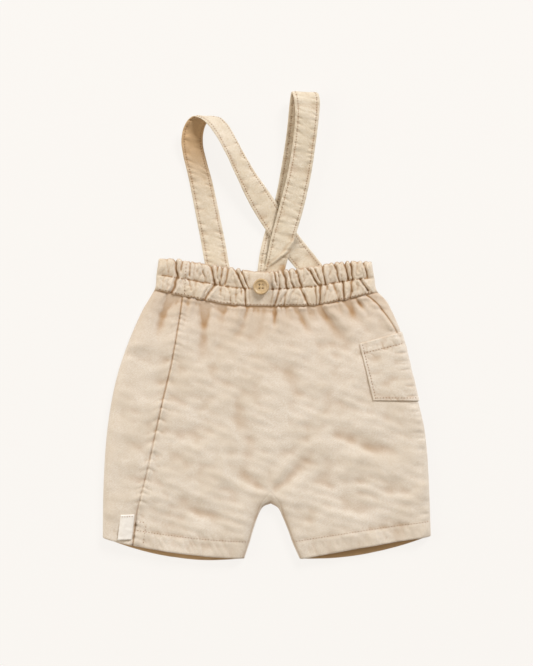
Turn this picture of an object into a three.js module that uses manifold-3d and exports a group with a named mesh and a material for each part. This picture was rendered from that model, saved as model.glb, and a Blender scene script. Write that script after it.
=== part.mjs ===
// Baby shorts with crossed shoulder straps, laid flat with the front up.
// Millimetres. X runs across the garment, Y from the hems to the straps, and Z up from the surface it lies on.
// Each cloth piece is a wall: an outer sheet worked out from named rows, an inner sheet one wall thickness
// further in, and a rim that joins the two along the cut edge.

import * as THREE from "three";
import { mergeVertices } from "three/addons/utils/BufferGeometryUtils.js";
import Module from "manifold-3d";

const wasm = await Module();
wasm.setup();

// Wall thicknesses and the room left between two pieces that are sewn together
const CLOTH = 1.2;
const BAND_CLOTH = 1.8;
const STRAP_CLOTH = 1.5;
const LABEL_CLOTH = 1.0;
const SEAM_GAP = 0.3;
const FORK_GAP = 0.7;

// Side fold: height of its widest point, and how far it reaches in over the top and under the bottom
const SIDE_RISE = 3.4;
const SIDE_REACH_BAND = 4.2;
const SIDE_REACH_BODY = 8.5;
const SIDE_REACH_UNDER = 4.0;

// Waistband: room inside it for the straps, and how much each elastic channel bulges
const BAND_HOLLOW_TOP = 4.1;
const CHANNEL_BULGE = 0.9;
const STRAP_STACK_LIFT = 1.8;
const STRAP_STACK = { left: -11, right: 20, soft: 7 };
const GATHER_HALF = 2.4;
const FLAT_PATCH = { left: -14.5, right: 3.0 };
const PATCH_BULGE = 0.35;

// Levels down the garment: -1 is the band's top edge, 0 the waist seam, CROTCH the fork, and 1 the hem
const CROTCH = 0.78;
const MIDDLE = { x: 0.1, lean: 4.1, y: 17.2, frontDrop: 202.0, backDrop: 215.9 };

const LEFT_SIDE = [
  { v: -1.0, x: -92.3, y: 57.5 }, { v: -0.5, x: -94.2, y: 44.5 }, { v: 0.0, x: -95.9, y: 31.2 },
  { v: 0.04, x: -100.6, y: 23.2 }, { v: 0.082, x: -106.1, y: 13.9 }, { v: 0.195, x: -116.7, y: -9.9 },
  { v: 0.332, x: -126.8, y: -38.8 }, { v: 0.46, x: -132.9, y: -66.0 }, { v: 0.59, x: -136.7, y: -93.2 },
  { v: 0.726, x: -138.8, y: -122.1 }, { v: 0.868, x: -139.8, y: -151.9 }, { v: 1.0, x: -140.0, y: -179.9 },
];
const RIGHT_SIDE = [
  { v: -1.0, x: 89.6, y: 54.3 }, { v: -0.5, x: 91.8, y: 41.2 }, { v: 0.0, x: 94.9, y: 29.1 },
  { v: 0.035, x: 102.1, y: 21.8 }, { v: 0.07, x: 106.0, y: 14.7 }, { v: 0.13, x: 111.8, y: 2.0 },
  { v: 0.18, x: 115.2, y: -8.2 }, { v: 0.32, x: 122.5, y: -37.1 }, { v: 0.45, x: 129.2, y: -64.3 },
  { v: 0.55, x: 134.0, y: -84.7 }, { v: 0.65, x: 136.6, y: -105.0 }, { v: 0.75, x: 138.0, y: -126.0 },
  { v: 0.85, x: 138.9, y: -147.0 }, { v: 1.0, x: 140.0, y: -178.3 },
];
// Inner leg outline, which is the back panel's fold, with w from 0 at the fork to 1 at the hem
const INNER_LEG = [
  { w: 0.0, leftX: 3.3, leftY: -151.2, rightX: 3.3, rightY: -151.2 },
  { w: 0.12, leftX: -3.2, leftY: -154.0, rightX: 9.6, rightY: -155.0 },
  { w: 0.3, leftX: -7.4, leftY: -161.6, rightX: 13.4, rightY: -162.6 },
  { w: 0.55, leftX: -11.8, leftY: -174.4, rightX: 18.3, rightY: -174.4 },
  { w: 0.75, leftX: -14.8, leftY: -184.8, rightX: 22.0, rightY: -184.8 },
  { w: 1.0, leftX: -19.2, leftY: -197.8, rightX: 28.0, rightY: -198.2 },
];
// Inner leg seam, where the front panel ends, a little above the fork and close to the fold further down
const INNER_SEAM = [
  { w: 0.0, leftX: 3.3, leftY: -140.4, rightX: 3.3, rightY: -140.4 },
  { w: 0.12, leftX: -3.6, leftY: -148.6, rightX: 10.3, rightY: -149.2 },
  { w: 0.3, leftX: -8.4, leftY: -161.0, rightX: 14.5, rightY: -162.0 },
  { w: 0.55, leftX: -12.8, leftY: -174.0, rightX: 19.4, rightY: -174.0 },
  { w: 0.75, leftX: -15.8, leftY: -184.4, rightX: 23.0, rightY: -184.4 },
  { w: 1.0, leftX: -20.2, leftY: -197.4, rightX: 29.1, rightY: -197.8 },
];
// Where the front band meets the back band, at the top edge and at the waist seam
const BAND_SEAMS = { left: { top: -70.1, low: -71.8 }, right: { top: 80.1, low: 84.6 } };
const LEFT_SEAM = [
  { v: 0.0, x: -71.8 }, { v: 0.08, x: -74.1 }, { v: 0.27, x: -80.9 },
  { v: 0.42, x: -88.0 }, { v: 0.55, x: -94.0 }, { v: 0.74, x: -102.9 }, { v: 0.87, x: -110.1 },
  { v: 1.0, x: -113.8 },
];
// How far in from the right outline the right side seam lies on the top face
const RIGHT_SEAM_INSET = [
  { v: 0.0, inset: 10.3 }, { v: 0.05, inset: 8.4 }, { v: 0.1, inset: 6.0 },
  { v: 0.16, inset: 3.6 }, { v: 0.22, inset: 1.8 }, { v: 0.3, inset: 1.4 }, { v: 1.0, inset: 1.4 },
];
const BAND_TOP = [
  { x: -95, y: 57.5 }, { x: -78.6, y: 56.4 }, { x: -52.4, y: 52.3 }, { x: -30.8, y: 48.9 },
  { x: -9.2, y: 46.3 }, { x: 11.2, y: 46.6 }, { x: 47.5, y: 51.7 }, { x: 73.2, y: 54.8 }, { x: 92, y: 54.4 },
];
const WAIST_SEAM = [
  { x: -96, y: 31.2 }, { x: -66.1, y: 24.4 }, { x: -36.5, y: 18.9 }, { x: -16, y: 17.1 },
  { x: 26.9, y: 17.2 }, { x: 45.4, y: 18.2 }, { x: 70.2, y: 23.4 }, { x: 95, y: 29.1 },
];
// How far each hem hangs below a straight line from side to inner leg, at the middle of the leg
const HEM_SAG = { front: { left: -3.2, right: 0.8 }, back: { left: -8.1, right: -5.9 } };

// Height of the top face at each level
const LOFT = [
  { v: -1.0, z: 6.1 }, { v: 0.0, z: 6.3 }, { v: 0.05, z: 7.6 }, { v: 0.15, z: 9.3 }, { v: 0.35, z: 10.0 },
  { v: 0.7, z: 9.8 }, { v: 0.9, z: 9.2 }, { v: 1.0, z: 8.6 },
];

// Gathers: x at the band's top edge and at the waist seam, depth, how far each runs down the panel below the
// seam, and how far it leans sideways for each millimetre down
const GATHERS = [
  { top: -87.0, low: -89.5, deep: 0.8, run: 9, lean: -0.5 },
  { top: -77.2, low: -82.0, deep: 1.3, run: 44, lean: -0.42 },
  { top: -65.3, low: -66.5, deep: 1.0, run: 12, lean: -0.2 },
  { top: -59.0, low: -60.0, deep: 0.7, run: 9, lean: -0.2 },
  { top: -53.4, low: -51.7, deep: 1.3, run: 40, lean: -0.13 },
  { top: -46.6, low: -45.5, deep: 0.9, run: 10, lean: -0.1 },
  { top: -40.5, low: -39.5, deep: 1.2, run: 9, lean: -0.1 },
  { top: -32.6, low: -33.0, deep: 1.2, run: 13, lean: -0.1 },
  { top: -26.2, low: -27.0, deep: 0.8, run: 8, lean: -0.1 },
  { top: -20.8, low: -22.2, deep: 1.2, run: 10, lean: -0.1 },
  { top: -15.6, low: -17.0, deep: 1.3, run: 26, lean: -0.16 },
  { top: 3.2, low: 6.8, deep: 1.3, run: 22, lean: 0.0 },
  { top: 8.4, low: 12.2, deep: 1.0, run: 9, lean: 0.1 },
  { top: 13.2, low: 17.4, deep: 1.0, run: 10, lean: 0.2 },
  { top: 18.4, low: 22.8, deep: 1.3, run: 9, lean: 0.3 },
  { top: 23.6, low: 28.4, deep: 1.3, run: 62, lean: 0.78 },
  { top: 31.0, low: 34.2, deep: 0.8, run: 10, lean: 0.3 },
  { top: 40.1, low: 41.0, deep: 1.3, run: 12, lean: 0.4 },
  { top: 46.6, low: 46.8, deep: 1.0, run: 10, lean: 0.5 },
  { top: 52.6, low: 52.4, deep: 0.8, run: 38, lean: 0.8 },
  { top: 58.8, low: 58.2, deep: 1.3, run: 10, lean: 0.5 },
  { top: 66.6, low: 65.4, deep: 1.0, run: 9, lean: 0.5 },
  { top: 72.5, low: 72.4, deep: 1.2, run: 15, lean: 0.7 },
];
// Soft creases lower down the body: two ends, depth and half width
const CREASES = [
  { x0: -124, y0: -22, x1: -104, y1: -27, deep: 0.9, half: 6 },
  { x0: -101, y0: -43, x1: -80, y1: -49, deep: 0.7, half: 6 },
  { x0: -88, y0: -90, x1: -54, y1: -96, deep: 0.7, half: 8 },
  { x0: -76, y0: -143, x1: -42, y1: -166, deep: 0.8, half: 7 },
  { x0: 52, y0: -86, x1: 112, y1: -114, deep: 0.9, half: 9 },
  { x0: 34, y0: -128, x1: 82, y1: -133, deep: 0.7, half: 8 },
  { x0: -26, y0: -52, x1: -14, y1: -112, deep: 0.6, half: 9 },
  { x0: 3, y0: -140, x1: -30, y1: -120, deep: 0.9, half: 6 },
  { x0: 4, y0: -140, x1: 36, y1: -112, deep: 0.9, half: 6 },
];

// Rows of each panel, closer together near the waist seam and the fork
const BODY_ROWS = [0, 0.022, 0.05, 0.08, 0.115, 0.155, 0.2, 0.25, 0.31, 0.37, 0.43, 0.49, 0.55, 0.61, 0.67, 0.73,
  CROTCH];
const LEG_ROWS = [0.79, 0.806, 0.83, 0.865, 0.905, 0.95, 1.0];
const BAND_ROWS = [-1.0, -0.83, -0.67, -0.5, -0.33, -0.17, 0.0];

const smooth = (t) => {
  const c = Math.min(1, Math.max(0, t));
  return c * c * (3 - 2 * c);
};
const mix = (a, b, t) => a + (b - a) * t;
const lerpPoint = (a, b, t) => ({ x: mix(a.x, b.x, t), y: mix(a.y, b.y, t) });
const spread = (from, to, count) => Array.from({ length: count + 1 }, (_, i) => mix(from, to, i / count));

// Reads one named column of a table at any place along another, on a smooth curve through the rows
function along(rows, key, column, at) {
  const last = rows.length - 1;
  if (at <= rows[0][key]) return rows[0][column];
  if (at >= rows[last][key]) return rows[last][column];
  const i = rows.findIndex((row) => row[key] > at) - 1;
  const slope = (j) => {
    const a = rows[Math.max(0, j - 1)];
    const b = rows[Math.min(last, j + 1)];
    return (b[column] - a[column]) / (b[key] - a[key]);
  };
  const step = rows[i + 1][key] - rows[i][key];
  const t = (at - rows[i][key]) / step;
  const h1 = t * t * (3 - 2 * t);
  const h2 = t * (1 - t) * (1 - t);
  const h3 = t * t * (t - 1);
  return mix(rows[i][column], rows[i + 1][column], h1) + step * (h2 * slope(i) + h3 * slope(i + 1));
}

const isLeft = (side) => side === "left";
const sidePoint = (side, v) => {
  const rows = isLeft(side) ? LEFT_SIDE : RIGHT_SIDE;
  return { x: along(rows, "v", "x", v), y: along(rows, "v", "y", v) };
};
const legPoint = (rows, side, v) => {
  const w = (v - CROTCH) / (1 - CROTCH);
  return { x: along(rows, "w", `${side}X`, w), y: along(rows, "w", `${side}Y`, w) };
};
// The inner end of a row: the middle of the garment above the fork, and the inner leg below it
const innerPoint = (side, v, face) => {
  if (v > CROTCH) return legPoint(face === "front" ? INNER_SEAM : INNER_LEG, side, v);
  const drop = face === "front" ? MIDDLE.frontDrop : MIDDLE.backDrop;
  return { x: MIDDLE.x + MIDDLE.lean * v, y: MIDDLE.y - drop * v };
};

// A point of one row of a panel, with u from 0 at the outline to 1 at the inner end
function rowPoint(side, v, u, face) {
  const point = lerpPoint(sidePoint(side, v), innerPoint(side, v, face), u);
  const waist = lerpPoint(sidePoint(side, 0), innerPoint(side, 0, face), u);
  const waistSag = along(WAIST_SEAM, "x", "y", waist.x) - waist.y;
  const hemSag = HEM_SAG[face][side] * 4 * u * (1 - u);
  point.y += waistSag * (1 - smooth(v / 0.6)) + hemSag * smooth((v - 0.35) / 0.65);
  return point;
}

// The outline as short straight segments, each with the way out of the cloth
function outlineSegments() {
  const segments = [];
  const add = (a, b, out) => {
    const across = new THREE.Vector2(b.y - a.y, a.x - b.x).normalize();
    if (across.dot(out) < 0) across.negate();
    segments.push({ a, b, out: across });
  };
  const levels = spread(-1.05, 1, 160);
  for (let i = 0; i + 1 < levels.length; i += 1) {
    add(sidePoint("left", levels[i]), sidePoint("left", levels[i + 1]), new THREE.Vector2(-1, 0));
    add(sidePoint("right", levels[i]), sidePoint("right", levels[i + 1]), new THREE.Vector2(1, 0));
  }
  const legs = spread(CROTCH, 1.02, 40);
  for (let i = 0; i + 1 < legs.length; i += 1) {
    add(legPoint(INNER_LEG, "left", legs[i]), legPoint(INNER_LEG, "left", legs[i + 1]),
      new THREE.Vector2(1, -0.4));
    add(legPoint(INNER_LEG, "right", legs[i]), legPoint(INNER_LEG, "right", legs[i + 1]),
      new THREE.Vector2(-1, -0.4));
  }
  return segments;
}
const OUTLINE = outlineSegments();

// Distance in from the outline, and the way out towards it
function fromOutline(x, y) {
  let best = { distance: Infinity, out: new THREE.Vector2(1, 0) };
  for (const { a, b, out } of OUTLINE) {
    const ex = b.x - a.x;
    const ey = b.y - a.y;
    const length2 = ex * ex + ey * ey || 1e-9;
    const t = Math.min(1, Math.max(0, ((x - a.x) * ex + (y - a.y) * ey) / length2));
    const dx = a.x + ex * t - x;
    const dy = a.y + ey * t - y;
    const distance = Math.hypot(dx, dy);
    if (distance < best.distance) {
      best = { distance, out: distance > 0.4 ? new THREE.Vector2(dx / distance, dy / distance) : out };
    }
  }
  return best;
}

const sideReach = (v) => mix(SIDE_REACH_BAND, SIDE_REACH_BODY, smooth(v / 0.15));

// Gathers of the band, which run on down the panel, and the soft creases
function gatherDepth(x, v) {
  const t = v + 1;
  let depth = 0;
  for (const fold of GATHERS) {
    const reach = Math.abs(x - mix(fold.top, fold.low, t)) / GATHER_HALF;
    if (reach < 1) depth = Math.max(depth, fold.deep * (1 - reach));
  }
  return depth;
}
function panelFolds(x, y) {
  const below = along(WAIST_SEAM, "x", "y", x) - y;
  let drop = 0;
  for (const fold of GATHERS) {
    if (below > fold.run) continue;
    const s = Math.max(0, below);
    const half = GATHER_HALF + 0.11 * s;
    const reach = (x - fold.low - fold.lean * s) / half;
    const fade = (1 - s / fold.run) ** 1.3;
    drop += fold.deep * (0.75 + 0.6 * smooth(s / 12) * smooth(fold.run / 40)) * fade * Math.exp(-reach * reach);
  }
  for (const crease of CREASES) {
    const ex = crease.x1 - crease.x0;
    const ey = crease.y1 - crease.y0;
    const t = ((x - crease.x0) * ex + (y - crease.y0) * ey) / (ex * ex + ey * ey);
    const c = Math.min(1, Math.max(0, t));
    const off = Math.hypot(x - crease.x0 - ex * c, y - crease.y0 - ey * c) / crease.half;
    drop += crease.deep * (0.35 + 0.65 * Math.sin(Math.PI * c)) * Math.exp(-off * off);
  }
  return drop;
}
const stackLift = (x, v) => STRAP_STACK_LIFT * smooth((x - STRAP_STACK.left + STRAP_STACK.soft) / STRAP_STACK.soft)
  * smooth((STRAP_STACK.right + STRAP_STACK.soft - x) / STRAP_STACK.soft) * smooth(-v / 0.45);
const channelWave = (v) => Math.abs(Math.sin(2 * Math.PI * v));

// Height of the top face, before its fall to the side fold
function topHeight(x, y, v) {
  const base = along(LOFT, "v", "z", v);
  if (v <= 0) {
    const flat = smooth((FLAT_PATCH.left - x) / 3) + smooth((x - FLAT_PATCH.right) / 3);
    const wave = channelWave(v);
    const depth = gatherDepth(x, v) * (0.45 + 0.75 * wave) * flat;
    return base + stackLift(x, v) + CHANNEL_BULGE * wave * mix(PATCH_BULGE, 1, flat) - depth;
  }
  const lilt = 0.35 * Math.sin(x / 23 + y / 41) * Math.sin(y / 29 - x / 57) * smooth(v / 0.2);
  return base + lilt - panelFolds(x, y);
}

// A point of the outer sheet and the way out of the cloth there.
// Near the outline the section is a quarter of an ellipse above the fold, and another below it.
function sheetPoint(point, v, face, onOutline) {
  const edge = fromOutline(point.x, point.y);
  const inward = onOutline ? 0 : edge.distance;
  const reach = face === "front" ? sideReach(v) : SIDE_REACH_UNDER;
  const sine = 1 - Math.min(1, inward / reach);
  const cosine = Math.sqrt(Math.max(0, 1 - sine * sine));
  const height = face === "front" ? topHeight(point.x, point.y, v) - SIDE_RISE : -SIDE_RISE;
  const tilt = new THREE.Vector2(sine / reach, cosine / height).normalize();
  return {
    at: new THREE.Vector3(point.x, point.y, SIDE_RISE + height * cosine),
    out: new THREE.Vector3(edge.out.x * tilt.x, edge.out.y * tilt.x, tilt.y),
    ceiling: SIDE_RISE + (BAND_HOLLOW_TOP + stackLift(point.x, v) - SIDE_RISE) * cosine,
    onTop: face === "front",
  };
}

// A closed wall from strips of rows of sheet points: outer sheet, inner sheet, and a rim along every open edge.
// A row may be longer than the one above it, and the two then join along the shorter one.
function clothWall(strips, innerOf) {
  const points = [];
  const ids = new Map();
  const idOf = (node) => {
    const key = `${node.at.x.toFixed(3)},${node.at.y.toFixed(3)},${node.at.z.toFixed(3)}`;
    if (!ids.has(key)) {
      ids.set(key, points.length);
      points.push(node);
    }
    return ids.get(key);
  };
  const faces = [];
  for (const { rows, flip } of strips) {
    for (let i = 0; i + 1 < rows.length; i += 1) {
      for (let j = 0; j + 1 < Math.min(rows[i].length, rows[i + 1].length); j += 1) {
        const quad = [rows[i][j], rows[i + 1][j], rows[i + 1][j + 1], rows[i][j + 1]].map(idOf);
        const ring = quad.filter((id, k) => id !== quad[(k + 1) % 4]);
        if (ring.length > 2) faces.push(flip ? ring.reverse() : ring);
      }
    }
  }
  const positions = [];
  for (const node of points) positions.push(...node.at.toArray());
  for (const node of points) positions.push(...innerOf(node).toArray());
  const count = points.length;
  const triangles = [];
  const open = new Map();
  for (const ring of faces) {
    for (let k = 1; k + 1 < ring.length; k += 1) {
      triangles.push(ring[0], ring[k], ring[k + 1]);
      triangles.push(ring[0] + count, ring[k + 1] + count, ring[k] + count);
    }
    ring.forEach((a, k) => {
      const b = ring[(k + 1) % ring.length];
      if (!open.delete(`${b},${a}`)) open.set(`${a},${b}`, [a, b]);
    });
  }
  for (const [a, b] of open.values()) {
    triangles.push(b, a, a + count, b, a + count, b + count);
  }
  const geometry = new THREE.BufferGeometry();
  geometry.setAttribute("position", new THREE.Float32BufferAttribute(positions, 3));
  geometry.setIndex(triangles);
  return geometry;
}

const moved = (node, amount) => node.at.clone().addScaledVector(node.out, amount);
const plainWall = (thickness) => (node) => moved(node, -thickness);

// Shares of a side fold's reach at which a section has a column, from its end to the outline
const ARC = [1, 0.55, 0.24, 0.06, 0];
const START_ARC = [0, 0.08, 0.26, 0.58, 1];
const WRAP_SHARES = [0, 0.3, 0.65, 1];

const rowLength = (side, v, face) => {
  const a = sidePoint(side, v);
  const b = innerPoint(side, v, face);
  return Math.hypot(a.x - b.x, a.y - b.y);
};
// Places of a half row's columns, even above the fork and closer together at the inner leg below it
function halfColumns(start, startArc, reach, plain, v) {
  const first = startArc.map((share) => start + reach * share);
  const from = first[first.length - 1];
  const arc = ARC.map((share) => 1 - reach * share);
  const leg = [...first, ...spread(from, arc[0], plain).slice(1), ...arc.slice(1)];
  const trunk = [...first, ...spread(from, 1, plain + arc.length - 1).slice(1)];
  return leg.map((u, i) => mix(trunk[i], u, smooth((v - CROTCH + 0.14) / 0.14)));
}
const seamStart = (side, v) => {
  if (isLeft(side)) return along(LEFT_SEAM, "v", "x", v) - sidePoint(side, v).x;
  return along(RIGHT_SEAM_INSET, "v", "inset", v);
};
const panelNode = (side, v, u, face) => {
  const point = rowPoint(side, v, u, face);
  if (v === 0) point.y -= SEAM_GAP;
  const onOutline = u === 0 || (u === 1 && face === "back" && v >= CROTCH);
  return sheetPoint(point, v, face, onOutline);
};
const PANEL_ROWS = [...BODY_ROWS, ...LEG_ROWS];

// Front panel, in a left and a right half that share the middle above the fork
function frontHalf(side) {
  const startArc = isLeft(side) ? [0] : START_ARC;
  const plain = isLeft(side) ? 16 : 17;
  const rows = PANEL_ROWS.map((v) => {
    const length = rowLength(side, v, "front");
    const columns = halfColumns(seamStart(side, v) / length, startArc, SIDE_REACH_BODY / length, plain, v);
    return columns.map((u) => panelNode(side, v, u, "front"));
  });
  return { rows, flip: !isLeft(side) };
}

// Back panel: from the seam on the top face round the side fold, flat under the garment to the middle, and
// below the fork round the inner leg to the seam there
function backHalf(side) {
  const rows = PANEL_ROWS.map((v) => {
    const length = rowLength(side, v, "back");
    const seam = (seamStart(side, v) - SEAM_GAP) / rowLength(side, v, "front");
    const reach = Math.min(seam, sideReach(v) / rowLength(side, v, "front"));
    const top = isLeft(side)
      ? [...spread(seam, reach, 8), ...ARC.slice(1, -1).map((share) => reach * share)]
      : [1, 0.62, 0.28].map((share) => seam * share);
    const under = halfColumns(0, START_ARC, SIDE_REACH_UNDER / length, 5, v);
    const nodes = [...top.map((u) => panelNode(side, v, u, "front")),
      ...under.map((u) => panelNode(side, v, u, "back"))];
    if (v >= CROTCH) {
      const fold = legPoint(INNER_LEG, side, v);
      const edge = legPoint(INNER_SEAM, side, v);
      const wide = Math.hypot(edge.x - fold.x, edge.y - fold.y);
      const share = 1 - FORK_GAP / wide;
      nodes.push(...WRAP_SHARES.slice(1).map((s) => sheetPoint(lerpPoint(fold, edge, s * share), v, "front")));
    }
    return nodes;
  });
  return { rows, flip: isLeft(side) };
}

// Waistband: columns follow the gathers from the band's top edge to the waist seam
const bandColumns = () => {
  const stops = [BAND_SEAMS.left, ...GATHERS.filter((fold) => fold.top > BAND_SEAMS.left.top), BAND_SEAMS.right];
  const between = stops.slice(1).flatMap((stop, i) => [1, 2, 3].map((k) => ({
    top: mix(stops[i].top, stop.top, k / 3),
    low: mix(stops[i].low, stop.low, k / 3),
  })));
  return [stops[0], ...between];
};
function bandNode(x, v, face, onOutline) {
  const y = mix(along(BAND_TOP, "x", "y", x), along(WAIST_SEAM, "x", "y", x), v + 1);
  const scallop = face === "front" && v === -1 ? 0.7 * gatherDepth(x, v) : 0;
  return sheetPoint({ x, y: y - scallop }, v, face, onOutline);
}
const bandInner = (node) => {
  const inner = moved(node, -BAND_CLOTH);
  if (node.onTop) inner.z = node.ceiling;
  return inner;
};
function bandFront() {
  const columns = bandColumns();
  const rows = BAND_ROWS.map((v) => columns.map(({ top, low }) => bandNode(mix(top, low, v + 1), v, "front")));
  return clothWall([{ rows }], bandInner);
}
function bandBack() {
  const rows = BAND_ROWS.map((v) => {
    const left = sidePoint("left", v).x;
    const right = sidePoint("right", v).x;
    const seamLeft = mix(BAND_SEAMS.left.top, BAND_SEAMS.left.low, v + 1) - SEAM_GAP;
    const seamRight = mix(BAND_SEAMS.right.top, BAND_SEAMS.right.low, v + 1) + SEAM_GAP;
    const folds = GATHERS.filter((fold) => fold.top < BAND_SEAMS.left.top).map((fold) => mix(fold.top, fold.low, v + 1));
    const stops = [seamLeft, folds[1], folds[0], left + SIDE_REACH_BAND * ARC[1]];
    const topLeft = stops.slice(1).flatMap((x, i) => [1, 2, 3].map((k) => mix(stops[i], x, k / 3)));
    const arcLeft = ARC.slice(2, -1).map((share) => left + SIDE_REACH_BAND * share);
    const underShares = START_ARC.map((share) => SIDE_REACH_UNDER * share);
    const under = [...underShares.slice(1).map((d) => left + d),
      ...spread(left + SIDE_REACH_UNDER, right - SIDE_REACH_UNDER, 9).slice(1, -1),
      ...underShares.slice(1).reverse().map((d) => right - d)];
    const arcRight = ARC.slice(1, -1).reverse().map((share) => right - SIDE_REACH_BAND * share);
    const topRight = spread(right - SIDE_REACH_BAND, seamRight, 3);
    return [...[seamLeft, ...topLeft, ...arcLeft].map((x) => bandNode(x, v, "front")),
      bandNode(left, v, "front", true), ...under.map((x) => bandNode(x, v, "back")),
      bandNode(right, v, "front", true), ...[...arcRight, ...topRight].map((x) => bandNode(x, v, "front"))];
  });
  return clothWall([{ rows, flip: true }], bandInner);
}

// Shoulder straps: a flat folded strip between its two long edges, a and b. Each station gives both edges, from
// the band up the lower layer, over the loop, and down the upper layer to the band again.
const STRAP_LEFT = {
  stations: [
    { ax: -50.2, ay: 41, az: 3.05, bx: -29.0, by: 38, bz: 3.05 },
    { ax: -53.6, ay: 57.5, az: 3.05, bx: -32.5, by: 54, bz: 3.05 },
    { ax: -56.2, ay: 72, az: 1.0, bx: -35.0, by: 68.5, bz: 1.0 },
    { ax: -60.7, ay: 95.5, az: 0.95, bx: -39.6, by: 91, bz: 0.95 },
    { ax: -67.5, ay: 129.7, az: 1.6, bx: -46.8, by: 124, bz: 0.95 },
    { ax: -71.5, ay: 146.7, az: 3.8, bx: -51.6, by: 141.5, bz: 1.0 },
    { ax: -72.7, ay: 158.5, az: 6.6, bx: -54.6, by: 155, bz: 1.3 },
    { ax: -70.5, ay: 168.5, az: 9.2, bx: -54.2, by: 165.6, bz: 2.1 },
    { ax: -66.6, ay: 175.2, az: 11.4, bx: -51.4, by: 173.4, bz: 2.8 },
    { ax: -61.8, ay: 177.6, az: 13.8, bx: -46.6, by: 178.0, bz: 3.5 },
    { ax: -57.0, ay: 176.4, az: 15.8, bx: -40.6, by: 178.2, bz: 4.0 },
    { ax: -52.6, ay: 173.0, az: 17.0, bx: -36.0, by: 175.0, bz: 4.2 },
    { ax: -44.8, ay: 163.8, az: 17.6, bx: -30.2, by: 167.4, bz: 4.0 },
    { ax: -36.8, ay: 150.2, az: 16.4, bx: -23.6, by: 155.0, bz: 3.7 },
    { ax: -25.4, ay: 126.2, az: 12.2, bx: -10.8, by: 133.0, bz: 3.4 },
    { ax: -14.0, ay: 103.0, az: 7.4, bx: 3.4, by: 112.4, bz: 3.2 },
    { ax: -2.0, ay: 83.8, az: 4.2, bx: 15.6, by: 94.6, bz: 3.15 },
    { ax: 9.3, ay: 68.6, az: 3.3, bx: 27.4, by: 77.4, bz: 3.1 },
    { ax: 20.6, ay: 54.4, az: 3.05, bx: 40.2, by: 61.4, bz: 3.05 },
    { ax: 32.6, ay: 41.0, az: 3.05, bx: 51.2, by: 47.4, bz: 3.05 },
  ],
};
const STRAP_RIGHT = {
  stations: [
    { ax: -9.0, ay: 38, az: 3.05, bx: 12.4, by: 36.5, bz: 3.05 },
    { ax: -7.5, ay: 51, az: 3.0, bx: 13.9, by: 49.5, bz: 3.0 },
    { ax: -6.0, ay: 62, az: 1.0, bx: 15.3, by: 60, bz: 1.0 },
    { ax: -1.5, ay: 81, az: 0.95, bx: 19.2, by: 77, bz: 0.95 },
    { ax: 7.0, ay: 108, az: 0.95, bx: 27.6, by: 103.5, bz: 0.95 },
    { ax: 13.3, ay: 141.1, az: 0.95, bx: 34.6, by: 138, bz: 0.95 },
    { ax: 17.3, ay: 168, az: 1.3, bx: 38.6, by: 166.5, bz: 1.1 },
    { ax: 18.9, ay: 184.5, az: 2.9, bx: 40.2, by: 183.8, bz: 2.4 },
    { ax: 20.0, ay: 194.6, az: 6.0, bx: 41.5, by: 193.6, bz: 5.2 },
    { ax: 20.9, ay: 198.6, az: 10.0, bx: 42.6, by: 197.4, bz: 8.8 },
    { ax: 22.0, ay: 196.4, az: 14.0, bx: 44.0, by: 195.6, bz: 12.4 },
    { ax: 23.4, ay: 189.4, az: 15.8, bx: 44.8, by: 189.0, bz: 14.0 },
    { ax: 24.1, ay: 180, az: 15.6, bx: 44.2, by: 179, bz: 13.6 },
    { ax: 22.4, ay: 158.1, az: 13.8, bx: 41.6, by: 157, bz: 12.0 },
    { ax: 17.9, ay: 130.5, az: 11.0, bx: 37.5, by: 129, bz: 9.6 },
    { ax: 11.0, ay: 103.2, az: 8.8, bx: 31.2, by: 100.4, bz: 7.8 },
    { ax: 7.4, ay: 89.6, az: 7.9, bx: 27.4, by: 87.0, bz: 7.4 },
    { ax: 4.0, ay: 77.2, az: 7.5, bx: 23.9, by: 75.4, bz: 7.2 },
    { ax: 1.5, ay: 65.4, az: 7.3, bx: 20.6, by: 65.2, bz: 7.0 },
    { ax: -0.5, ay: 55.6, az: 6.7, bx: 17.5, by: 56.2, bz: 6.5 },
    { ax: -2.3, ay: 49.0, az: 5.2, bx: 15.6, by: 48.8, bz: 5.1 },
    { ax: -3.1, ay: 43.5, az: 4.85, bx: 14.9, by: 43.2, bz: 4.85 },
  ],
  // Where the upper layer dives into the band: a slanting ridge that runs from edge b to edge a, beyond which
  // the strip lies low
  dive: { fromY: 78, toY: 50, low: 4.85, soft: 0.3 },
};
const STRAP_COLUMNS = [0, 0.25, 0.5, 0.75, 1];
function strapWall({ stations, dive }) {
  const edge = (key) => new THREE.CatmullRomCurve3(
    stations.map((s) => new THREE.Vector3(s[`${key}x`], s[`${key}y`], s[`${key}z`])), false, "centripetal");
  const a = edge("a");
  const b = edge("b");
  const loopTop = stations.reduce((best, s, i) => (s.ay > stations[best].ay ? i : best), 0);
  const last = stations.length - 1;
  const rows = [];
  for (let i = 0; i < last; i += 1) {
    const isBend = Math.abs(i - loopTop) < 4 || (dive && i > last - 5);
    const steps = isBend ? 3 : 2;
    for (let k = 0; k < (i + 1 === last ? steps + 1 : steps); k += 1) {
      const t = (i + k / steps) / last;
      const left = a.getPoint(t);
      const right = b.getPoint(t);
      const ahead = a.getTangent(t).add(b.getTangent(t)).normalize();
      const wide = new THREE.Vector3().subVectors(right, left).normalize();
      const out = new THREE.Vector3().crossVectors(ahead, wide).normalize();
      rows.push(STRAP_COLUMNS.map((share) => {
        const at = left.clone().lerp(right, share);
        if (dive && i > loopTop && at.y < dive.fromY) {
          const ridge = mix(-0.15, 1.15, (at.y - dive.toY) / (dive.fromY - dive.toY));
          at.z = mix(at.z, Math.min(at.z, dive.low), smooth((share - ridge) / dive.soft));
        }
        return { at: at.addScaledVector(out, STRAP_CLOTH / 2), out };
      }));
    }
  }
  return clothWall([{ rows }], plainWall(STRAP_CLOTH));
}

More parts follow.
